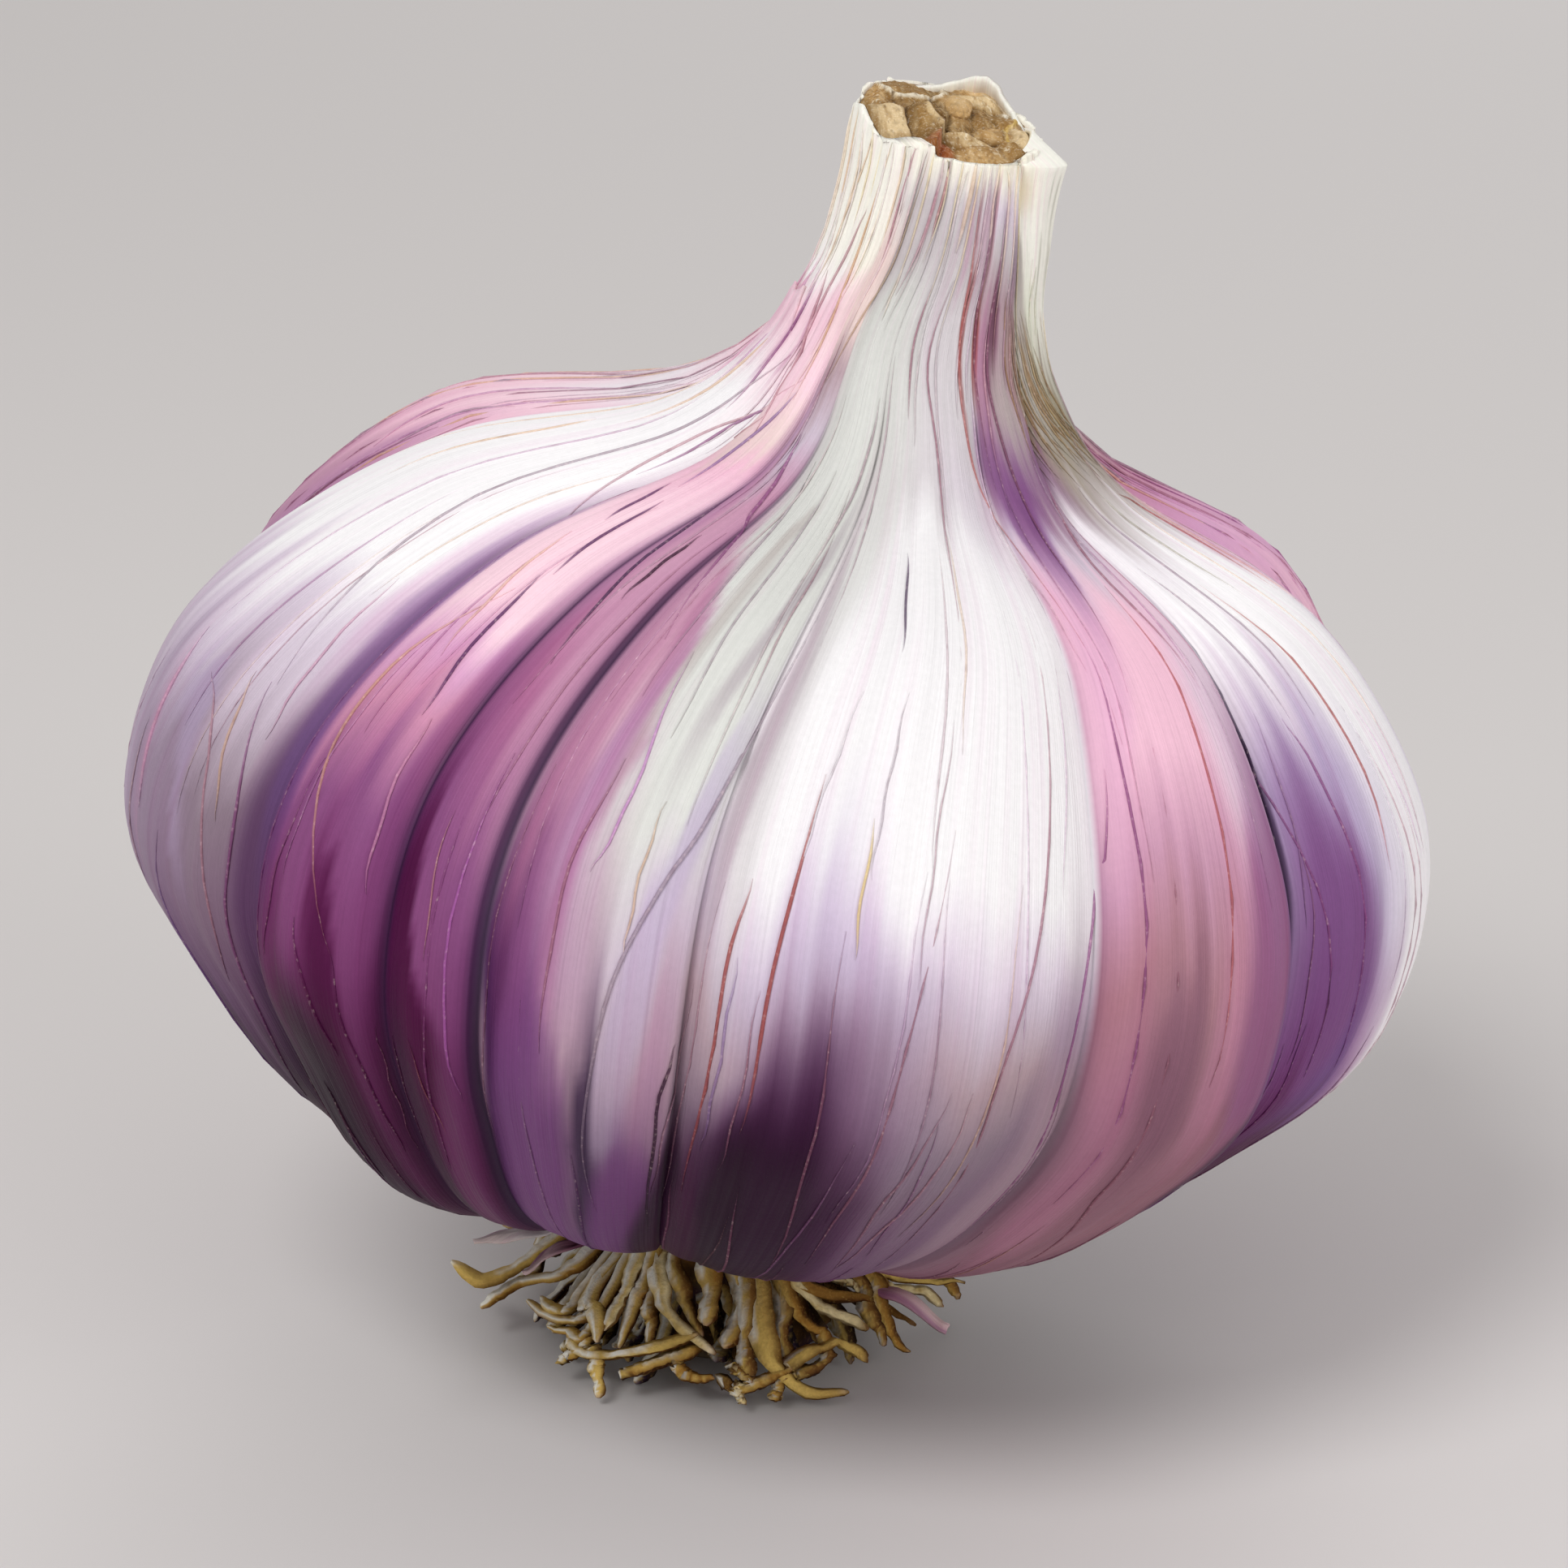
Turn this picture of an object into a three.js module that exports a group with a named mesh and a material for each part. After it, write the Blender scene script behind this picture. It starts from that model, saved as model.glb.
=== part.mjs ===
// A whole head of purple-striped garlic, standing on its trimmed roots and leaning to its right.
// Millimetres, +Z up. The origin is the middle of the small flat spot that it rests on.
// 0 degrees round the bulb is its front (-Y), and 90 degrees is its right side (+X).

import * as THREE from 'three';

const { degToRad, radToDeg, smoothstep, lerp } = THREE.MathUtils;

// ---- the whole bulb ----
const LEAN = degToRad(11);
const ROOT_END = new THREE.Vector3(-2, 0, 7.4);   // where the bulb's own axis starts, under the cloves
const REST_RADIUS = 4.8;                          // the flat spot
const GAP = 0.35;                                 // left between pieces that touch

// ---- the wrapped cloves and the neck: radius and height on the bulb's own axis ----
const SKIN_PROFILE = [
  [7.2, 0.5], [11.4, 1.2], [19.8, 4.0], [26.1, 9.6], [30.2, 16.4], [29.0, 24.8], [21.4, 33.0],
  [11.2, 37.2], [7.0, 41.2], [5.4, 44.8], [4.8, 48.0], [4.5, 50.4], [4.4, 52.4],
];
const SKIN_RINGS = 34;
const COLUMN_STEP = 6;                            // degrees between the columns, about
const NECK_BEND = 2.4;                            // how far the neck stands to the right of the axis
const NECK_BEND_HEIGHTS = [8, 44];                // between these heights
const MOUTH_BEND = -0.5;                          // and how far its mouth comes back
const MOUTH_BEND_HEIGHTS = [46, 53];
const CUT_SLANT = 0.06;                           // the cut drops this much per millimetre to the right
const UNDERSIDE = [[2.6, 1.8], [5.4, 1.6], [6.7, 1.1]];
const MOUTH = [[4.02, 52.45], [4.0, 50.0], [2.0, 49.9]];

// The creases between the cloves, in degrees, and the clove that starts at each one. depth is the
// crease's depth; over is 1 where the clove on its right lies on top, and -1 where the one on its
// left does; shoulder is how much fuller that clove's upper side is.
const CREASES = [
  { at: -49, depth: 1.5, over: 1, shoulder: 0.0 },
  { at: -33, depth: 1.7, over: -1, shoulder: 0.0 },
  { at: -24, depth: 1.5, over: -1, shoulder: -0.2 },
  { at: -6, depth: 0.8, over: 1, shoulder: 0.3 },
  { at: 29, depth: 0.8, over: 1, shoulder: 0.0 },
  { at: 51, depth: 1.7, over: -1, shoulder: 0.3 },
  { at: 103, depth: 2.0, over: -1, shoulder: 1.7 },
  { at: 131, depth: 1.8, over: -1, shoulder: 0.2 },
  { at: 162, depth: 1.9, over: 1, shoulder: 0.5 },
  { at: 194, depth: 1.8, over: -1, shoulder: 0.2 },
  { at: 225, depth: 2.0, over: -1, shoulder: 1.9 },
  { at: 256, depth: 2.0, over: 1, shoulder: -0.8 },
];
const SHARP_SIDE = 1.8;                           // degrees over which a crease's upper lip turns in
const SOFT_SIDE = 7;                              // and over which the tucked side comes out again
const CROWN = 0.045;                              // bulge of a clove per degree of its width
const WIDEST_CROWN = 40;                          // up to this many degrees
const SHOULDER = { at: 0.5, reach: 0.1 };         // along the profile, where the shoulders are full
const CREASE_FULL_AT = 0.12;                      // along the profile, where the creases are at full depth
const CREASE_FADES = [0.5, 0.72];                 // where they fade
const NECK_CREASE = 0.12;                         // how much of a crease's depth is left up the neck
// The creases at the front wander: this many degrees to the left at the shoulder and at the foot of the
// neck, and to the right at its mouth. It is most at the angle front.
const WANDER = {
  shoulder: 4, shoulderAt: 0.45, foot: 6, footAt: 0.71, footReach: 0.07, mouth: 9, front: -10,
};
const WANDER_TO_MOUTH = [0.74, 0.97];

// ---- the sheath ends and the stalk in the neck's mouth ----
const MOUTH_AXIS_X = NECK_BEND + MOUTH_BEND;
const SHEATH_THICKNESS = 0.6;
const WALL = { step: 12, ripple: 0.12, rippleTurn: 2.1 };   // degrees, millimetres, radians a step
const MOUTH_FLOOR = 50.35;
const SHEATH_ENDS = [
  // name, from and to in degrees, inner radius, top, colour
  { name: 'back_sheath', from: 112, to: 212, radius: 3.1, top: 54.0, color: '#e4e0e2' },
  { name: 'inner_sheath_left', from: 222, to: 342, radius: 3.1, top: 53.1, color: '#cdb588' },
  { name: 'inner_sheath_front', from: -8, to: 102, radius: 3.1, top: 52.7, color: '#c3a06c' },
  { name: 'inner_sheath_core_left', from: 190, to: 350, radius: 2.15, top: 53.0, color: '#a9834f' },
  { name: 'inner_sheath_core_right', from: 10, to: 170, radius: 2.15, top: 53.3, color: '#b08a5a' },
];
const STALK = { radius: 1.8, top: 53.1, lump: 0.16, sides: 18 };
const SIDE_SHEATH = { from: 58, to: 128, radius: 4.85, flare: 0.15, foot: 48.4, top: 51.8, thickness: 0.45 };

// ---- the root end ----
const PLATE = { topRadius: 6.1, crown: 1.25, rim: 0.55, sides: 36, rings: 5, lump: 0.16 };
const ROOT = { sides: 6, steps: 8, thickness: 0.52, tip: 0.28, sway: 0.9, splay: 7, uneven: 0.1 };
// A root bends at two places: how far out each one is, how much it is lifted, and how far aside.
const ROOT_BENDS = [{ part: 0.35, lift: 0.45, side: 0.3 }, { part: 0.75, lift: 0.2, side: -0.6 }];
const ROOT_TURNS = { sway: 2.4, reach: 1.7 };      // radians from one root to the next
// Three tiers of roots round the plate: how many, where they leave its side (0 at the flat spot, 1 at
// its rim), how far out their tips reach, how high the tips lie and how unevenly, and where they start.
const ROOT_TIERS = [
  { count: 15, leave: 0.88, reach: 12.4, tip: 2.6, uneven: 0.6, turn: 8 },
  { count: 13, leave: 0.6, reach: 10.6, tip: 0.27, uneven: 0, turn: -5 },
  { count: 11, leave: 0.32, reach: 8.2, tip: 0.27, uneven: 0, turn: 14 },
];
const SKIN_SCRAPS = [
  { at: -72, radius: 9.2, length: 3.0, width: 1.6, height: 8.9 },
  { at: -50, radius: 9.4, length: 2.4, width: 1.4, height: 8.3 },
  { at: 24, radius: 10.4, length: 2.2, width: 1.4, height: 6.7 },
];
const SCRAP = { thickness: 0.25, droop: 0.5, narrowing: 0.6 };

// ---- helpers ----
function piece(name, geometry, color, roughness = 0.75) {
  const material = new THREE.MeshStandardMaterial({ color, roughness, metalness: 0 });
  const mesh = new THREE.Mesh(geometry, material);
  mesh.name = name;
  return mesh;
}

// The point at a radius and a height in the direction of an angle round the bulb.
function around(degrees, radius, height, centreX = 0) {
  const angle = degToRad(degrees);
  return new THREE.Vector3(centreX + radius * Math.sin(angle), -radius * Math.cos(angle), height);
}

// A closed solid through rings that all have as many points, capped at both ends.
function closedLoft(rings) {
  const count = rings[0].length;
  const middle = (ring) => ring.reduce((sum, p) => sum.add(p), new THREE.Vector3()).divideScalar(count);
  const points = [...rings.flat(), middle(rings[0]), middle(rings.at(-1))];
  const faces = [];
  for (let j = 0; j < count; j++) {
    const next = (j + 1) % count;
    for (let i = 0; i + 1 < rings.length; i++) {
      const [a, b] = [i * count + j, i * count + next];
      faces.push([a, b, b + count], [a, b + count, a + count]);
    }
    const last = (rings.length - 1) * count;
    faces.push([points.length - 2, next, j], [points.length - 1, last + j, last + next]);
  }
  const volume = faces.reduce((sum, [a, b, c]) =>
    sum + points[a].dot(new THREE.Vector3().crossVectors(points[b], points[c])), 0);
  const turned = volume < 0 ? faces.map(([a, b, c]) => [a, c, b]) : faces;
  const geometry = new THREE.BufferGeometry().setFromPoints(points);
  geometry.setIndex(turned.flat());
  geometry.computeVertexNormals();
  return geometry;
}

// ---- the wrapped bulb ----
const profile = new THREE.SplineCurve(SKIN_PROFILE.map(([r, h]) => new THREE.Vector2(r, h)));
const neckShift = (height) => NECK_BEND * smoothstep(height, ...NECK_BEND_HEIGHTS)
  + MOUTH_BEND * smoothstep(height, ...MOUTH_BEND_HEIGHTS);

// The cloves with the widths of their creases: each one's start, end and shape.
const cloves = CREASES.map((crease, i) => {
  const next = CREASES[(i + 1) % CREASES.length];
  const end = next.at > crease.at ? next.at : next.at + 360;
  return { ...crease, end, endDepth: next.depth, endOver: next.over };
});

// How far a point of a clove lies inside its outer line; part is 0 to 1 across the clove.
function inset(clove, part) {
  const width = clove.end - clove.at;
  const startSide = clove.over > 0 ? SHARP_SIDE : SOFT_SIDE;
  const endSide = clove.endOver < 0 ? SHARP_SIDE : SOFT_SIDE;
  const fromStart = clove.depth * Math.exp(-(part * width) / startSide);
  const fromEnd = clove.endDepth * Math.exp(-((1 - part) * width) / endSide);
  const bulge = CROWN * Math.min(width, WIDEST_CROWN) * (2 * part - 1) ** 2;
  return Math.max(fromStart, fromEnd) + bulge;
}

// 1 at the middle, falling away to nothing on both sides.
const hump = (value, middle, reach) => Math.exp(-(((value - middle) / reach) ** 2));

// How many degrees a crease at the front wanders from its place; those at the back run straight.
function wander(degrees, along) {
  const front = Math.max(0, Math.cos(degToRad(degrees - WANDER.front))) ** 2;
  const atShoulder = WANDER.shoulder * hump(along, WANDER.shoulderAt, SHOULDER.reach);
  const atFoot = WANDER.foot * hump(along, WANDER.footAt, WANDER.footReach);
  return front * (WANDER.mouth * smoothstep(along, ...WANDER_TO_MOUTH) - atShoulder - atFoot);
}

function skinPoint(clove, part, along) {
  const { x: radius, y: height } = profile.getPoint(along);
  const fade = lerp(1, NECK_CREASE, smoothstep(along, ...CREASE_FADES));
  const grooved = smoothstep(along, 0, CREASE_FULL_AT) * fade;
  const full = hump(along, SHOULDER.at, SHOULDER.reach) * Math.sin(Math.PI * part);
  const degrees = lerp(clove.at, clove.end, part);
  const r = radius - grooved * inset(clove, part) + clove.shoulder * full;
  const cut = along === 1 ? CUT_SLANT * r * Math.sin(degToRad(degrees)) : 0;
  return around(degrees + wander(degrees, along), r, height - cut, neckShift(height));
}

function wrappedBulb() {
  const columns = cloves.flatMap((clove) => {
    const count = Math.max(3, Math.round((clove.end - clove.at) / COLUMN_STEP));
    return Array.from({ length: count }, (_, k) => ({ clove, part: k / count }));
  });
  const plainRing = ([radius, height]) => columns.map(({ clove, part }) =>
    around(lerp(clove.at, clove.end, part), radius, height, neckShift(height)));
  const skin = Array.from({ length: SKIN_RINGS + 1 }, (_, i) =>
    columns.map(({ clove, part }) => skinPoint(clove, part, i / SKIN_RINGS)));
  return piece('wrapped_bulb', closedLoft([
    ...UNDERSIDE.map(plainRing), ...skin, ...MOUTH.map(plainRing),
  ]), '#cdb4cb', 0.55);
}

// ---- sheath ends and stalk ----
// A thin wall that follows part of a circle and leans out by its flare; its top edge is rippled.
function curvedWall({ from, to, radius, foot, top, thickness, flare = 0, ripple = 0, centreX }) {
  const steps = Math.ceil((to - from) / WALL.step);
  return closedLoft(Array.from({ length: steps + 1 }, (_, i) => {
    const degrees = lerp(from, to, i / steps);
    const wave = 1 + Math.cos(i * WALL.rippleTurn);
    const crest = top - ripple * wave - (i === 0 || i === steps ? ripple : 0);
    return [
      around(degrees, radius, foot, centreX),
      around(degrees, radius + thickness, foot, centreX),
      around(degrees, radius + thickness + flare, crest, centreX),
      around(degrees, radius + flare, crest, centreX),
    ];
  }));
}

function sheathEnds() {
  return SHEATH_ENDS.map(({ name, color, ...end }) => piece(name, curvedWall({
    ...end, foot: MOUTH_FLOOR, thickness: SHEATH_THICKNESS, ripple: WALL.ripple, centreX: MOUTH_AXIS_X,
  }), color, 0.9));
}

function sideSheath() {
  const wall = curvedWall({ ...SIDE_SHEATH, ripple: WALL.ripple, centreX: NECK_BEND + MOUTH_BEND / 2 });
  return piece('side_sheath', wall, '#efeedd', 0.7);
}

function cutStalk() {
  const ring = (radius, height) => Array.from({ length: STALK.sides }, (_, j) => {
    const degrees = (360 * j) / STALK.sides;
    const lump = STALK.lump * Math.sin(3 * degToRad(degrees) + height);
    return around(degrees, radius * (1 + lump / 2) - STALK.lump, height + lump, MOUTH_AXIS_X);
  });
  const { radius, top } = STALK;
  const foot = MOUTH_FLOOR + STALK.lump;
  const rings = [
    ring(radius * 0.5, foot), ring(radius, foot), ring(radius, top - 0.4),
    ring(radius * 0.8, top), ring(radius * 0.4, top - 0.3),
  ];
  return piece('cut_stalk', closedLoft(rings), '#8f6b3c', 0.95);
}

// ---- the root end ----
const bulb = new THREE.Group();
bulb.position.copy(ROOT_END);
bulb.rotation.y = LEAN;
bulb.updateMatrix();

// A point on the plate's side: it is flat on the ground at 0 and square to the leaning bulb at 1.
function plateSide(degrees, up, outside = 0) {
  const lump = PLATE.lump * Math.sin(degToRad(degrees * 7)) * up;
  const flat = around(degrees, REST_RADIUS + outside, 0);
  const leant = around(degrees, PLATE.topRadius + lump + outside, 0).applyMatrix4(bulb.matrix);
  return flat.lerp(leant, up);
}

function basalPlate() {
  const round = Array.from({ length: PLATE.sides }, (_, j) => (360 * j) / PLATE.sides);
  const side = Array.from({ length: PLATE.rings + 1 }, (_, i) =>
    round.map((degrees) => plateSide(degrees, i / PLATE.rings)));
  const top = [[PLATE.topRadius - 0.1, PLATE.rim], [PLATE.topRadius * 0.75, PLATE.crown]].map(([r, h]) =>
    round.map((degrees) => around(degrees, r, h).applyMatrix4(bulb.matrix)));
  return piece('basal_plate', closedLoft([...side, ...top]), '#8c7a4c', 0.95);
}

// One dried root: out of the plate's side, then down to its cut tip.
function root(name, degrees, tier, index) {
  const wave = Math.sin(index * ROOT_TURNS.sway);
  const reach = tier.reach * (1 + ROOT.uneven * Math.cos(index * ROOT_TURNS.reach));
  const start = plateSide(degrees, tier.leave, GAP + ROOT.thickness);
  const tip = around(degrees + ROOT.splay * wave, reach, tier.tip + tier.uneven * wave);
  const aside = around(degrees + 90, ROOT.sway * wave, 0);
  const bends = ROOT_BENDS.map(({ part, lift, side }) =>
    start.clone().lerp(tip, part).addScaledVector(aside, side).add(new THREE.Vector3(0, 0, lift)));
  const path = new THREE.CatmullRomCurve3([start, ...bends, tip]);
  const frames = path.computeFrenetFrames(ROOT.steps, false);
  const rings = Array.from({ length: ROOT.steps + 1 }, (_, i) => {
    const t = i / ROOT.steps;
    const radius = lerp(ROOT.thickness, ROOT.tip, t);
    const centre = path.getPointAt(t);
    return Array.from({ length: ROOT.sides }, (_, j) => {
      const turn = (2 * Math.PI * j) / ROOT.sides;
      return centre.clone()
        .addScaledVector(frames.normals[i], radius * Math.cos(turn))
        .addScaledVector(frames.binormals[i], radius * Math.sin(turn));
    });
  });
  return piece(name, closedLoft(rings), '#a88a50', 0.95);
}

function roots() {
  const made = [];
  for (const tier of ROOT_TIERS) {
    for (let k = 0; k < tier.count; k++) {
      const name = `root_${String(made.length + 1).padStart(2, '0')}`;
      made.push(root(name, tier.turn + (360 * k) / tier.count, tier, made.length));
    }
  }
  return made;
}

// Torn bits of dry outer skin that hang at the edge of the root end.
function skinScraps() {
  return SKIN_SCRAPS.map(({ at, radius, length, width, height }, i) => {
    const rings = [0, 0.5, 1].map((t) => {
      const out = radius + length * t;
      const low = height - SCRAP.droop * t * t;
      const high = low + SCRAP.thickness;
      const half = radToDeg((width * (1 - SCRAP.narrowing * t)) / (2 * radius));
      const section = [[-half, low], [half, low], [half, high], [-half, high]];
      return section.map(([turn, z]) => around(at + turn, out, z));
    });
    return piece(`skin_scrap_${i + 1}`, closedLoft(rings), '#c9a9b4', 0.8);
  });
}

// ---- the whole part ----
bulb.add(wrappedBulb(), ...sheathEnds(), cutStalk(), sideSheath());

const group = new THREE.Group();
group.add(bulb, basalPlate(), ...roots(), ...skinScraps());

export default group;
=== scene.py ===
import math

import bpy
import numpy as np
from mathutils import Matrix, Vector


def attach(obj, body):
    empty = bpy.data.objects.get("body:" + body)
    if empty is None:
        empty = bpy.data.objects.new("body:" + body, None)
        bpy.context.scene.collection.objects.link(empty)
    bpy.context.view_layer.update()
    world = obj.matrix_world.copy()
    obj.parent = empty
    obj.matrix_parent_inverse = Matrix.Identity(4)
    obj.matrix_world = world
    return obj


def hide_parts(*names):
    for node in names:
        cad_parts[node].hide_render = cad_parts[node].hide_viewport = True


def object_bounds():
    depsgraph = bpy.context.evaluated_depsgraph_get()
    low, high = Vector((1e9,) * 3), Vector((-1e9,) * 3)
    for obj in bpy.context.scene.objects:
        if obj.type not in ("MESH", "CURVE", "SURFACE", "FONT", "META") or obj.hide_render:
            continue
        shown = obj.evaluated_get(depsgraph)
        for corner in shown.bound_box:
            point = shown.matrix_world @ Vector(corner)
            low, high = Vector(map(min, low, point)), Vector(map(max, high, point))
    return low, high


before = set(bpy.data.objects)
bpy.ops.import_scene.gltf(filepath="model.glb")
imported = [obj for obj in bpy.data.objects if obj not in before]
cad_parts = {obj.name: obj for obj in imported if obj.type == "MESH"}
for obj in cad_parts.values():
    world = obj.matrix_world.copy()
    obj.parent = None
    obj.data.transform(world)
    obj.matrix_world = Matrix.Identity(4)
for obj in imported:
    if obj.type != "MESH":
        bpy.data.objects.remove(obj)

# A whole head of purple-striped garlic. Metres, in the frame of the solids: +Z up, the origin under
# the bulb. 0 degrees round the bulb is its front (-Y), and 90 degrees is its right side (+X).
# "along" is how far up the skin a place is: 0 at the root end, 1 at the cut mouth of the neck.
CAD_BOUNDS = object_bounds()
MM = 0.001
rng = np.random.default_rng(4)

# ---- sizes, in millimetres on the bulb's own axis, as in the solids ----
LEAN = math.radians(11)
ROOT_END = np.array([-2.0, 0.0, 7.4])
SKIN_PROFILE = np.array([
    (7.2, 0.5), (11.4, 1.2), (19.8, 4.0), (26.1, 9.6), (30.2, 16.4), (29.0, 24.8), (21.4, 33.0),
    (11.2, 37.2), (7.0, 41.2), (5.4, 44.8), (4.8, 48.0), (4.5, 50.4), (4.4, 52.4),
])
UNDERSIDE = ((2.6, 1.8), (5.4, 1.6), (6.7, 1.1))
MOUTH = ((4.12, 52.5), (3.95, 51.9), (3.9, 50.2), (2.0, 49.9))
# The neck bends to the right, then a little left again at the mouth: how far, from one height to
# another.
NECK_BEND, NECK_BEND_FROM, NECK_BEND_TO = 2.4, 8, 44
MOUTH_BEND, MOUTH_BEND_FROM, MOUTH_BEND_TO = -0.5, 46, 53
MOUTH_AXIS = NECK_BEND + MOUTH_BEND
# The skin's lines turn round the bulb on their way up, in degrees and most of all at the front: on
# the neck, the other way at the belly and at the neck's foot, and at the low right, where the creases
# spread.
MOST_TURNED = -10
NECK_TURN, NECK_TURN_FROM, NECK_TURN_TO = 9, 0.74, 0.97
BELLY_TURN, BELLY_TURN_AT, BELLY_TURN_REACH = -4, 0.45, 0.1
FOOT_TURN, FOOT_TURN_AT, FOOT_TURN_REACH = -6, 0.71, 0.07
LOW_TURN, LOW_TURN_AT, LOW_TURN_REACH, LOW_TURN_FROM, LOW_TURN_TO = 8, 56, 14, 0.18, 0.37
# The cloves are fullest at the shoulder and flattest at their creases.
SHOULDER_AT, SHOULDER_REACH = 0.5, 0.1
CROWN, WIDEST_CROWN = 0.045, 40
CREASES_FADE_FROM, CREASES_FADE_TO, CREASES_IN_NECK = 0.5, 0.72, 0.12
PLATE_RADIUS, REST_RADIUS = 6.1, 4.8
PLATE_TOP = ((5.9, 0.55), (4.5, 1.25))
ROOT_CENTRE = -1.0
VEIN_LIFT = 0.03

# The cut across the neck: lower on the right and at the front, with a step at the left of the front.
CUT_SLANT, CUT_TILT = 0.06, 0.14
STEP_RISE, STEP_FROM, STEP_TO = 0.5, -80, -16
DIP, DIP_AT, DIP_REACH = 0.75, -45, 17
FRONT_DROP, FRONT_DROP_FROM, FRONT_DROP_TO = 0.34, -112, 54
STEP_DROP, STEP_DROP_TO = 0.5, 42
# The low left of the bulb sags: how much fuller and how much lower it is there.
BELLY, SAG, SAG_AT, SAG_REACH = 0.4, 1.1, -46, 22
SAG_ALONG, SAG_ALONG_REACH = 0.16, 0.09

# The skin's grid, and how much closer its columns lie between two angles at the front.
SKIN_COLUMNS, SKIN_ROWS = 560, 166
FRONT_SHARE, FRONT_FROM, FRONT_TO = 1.45, -104, 103


# ---- colours, as written in a paint box ----
def colour(code):
    """A hex colour as red, green and blue from 0 to 1."""
    return np.array([int(code[i:i + 2], 16) / 255 for i in (1, 3, 5)])


def linear(paint):
    """Written colours as the linear light that attributes and shaders hold."""
    paint = np.asarray(paint, float)
    return np.where(paint <= 0.04045, paint / 12.92, ((paint + 0.055) / 1.055) ** 2.4)


PAINT = {name: colour(code) for name, code in {
    "white": "#fcfafb", "frost": "#f0eeef", "pearl": "#efe9ee", "lilac": "#ddd0de",
    "lavender": "#b5a2c4", "haze": "#cbbccb", "mauve": "#b07fa6", "orchid": "#d6a0c4",
    "blush": "#f7d3df", "pink": "#efbfd2", "rose": "#c98ba8", "dusty": "#c896b0", "petal": "#ebd5d0",
    "magenta": "#b565b5", "plum": "#7d3f70", "wine": "#4b0e3b", "claret": "#6a3b52",
    "rosewood": "#8a5666", "russet": "#94403c", "clay": "#a8727f", "grape": "#5f3a5e",
    "violet": "#6a4a86", "purple": "#74427a", "mulberry": "#8a5080", "raspberry": "#a9678f",
    "heather": "#80657c", "indigo": "#46204d", "ink": "#33203c", "aubergine": "#2d0b2a",
    "near_black": "#200b1c", "grey": "#d5d6d1", "ash": "#c9c2c4", "smoke": "#8d7a88", "fawn": "#b39aa2",
    "stone": "#b0a6a2", "olive": "#a09c8c", "putty": "#c9c5b6", "cream": "#fdfcf1", "ivory": "#fbf8ea",
    "straw": "#d9b865", "tan": "#c79a72", "gold": "#a97c36", "umber": "#80592a", "bark": "#3f2a16",
    "greenish": "#ebeddb", "buff": "#e0c79c", "biscuit": "#c19c68", "hazel": "#9b7846",
    "walnut": "#7d6038", "rust": "#a2542b", "mist": "#d3cdd0",
}.items()}

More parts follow.
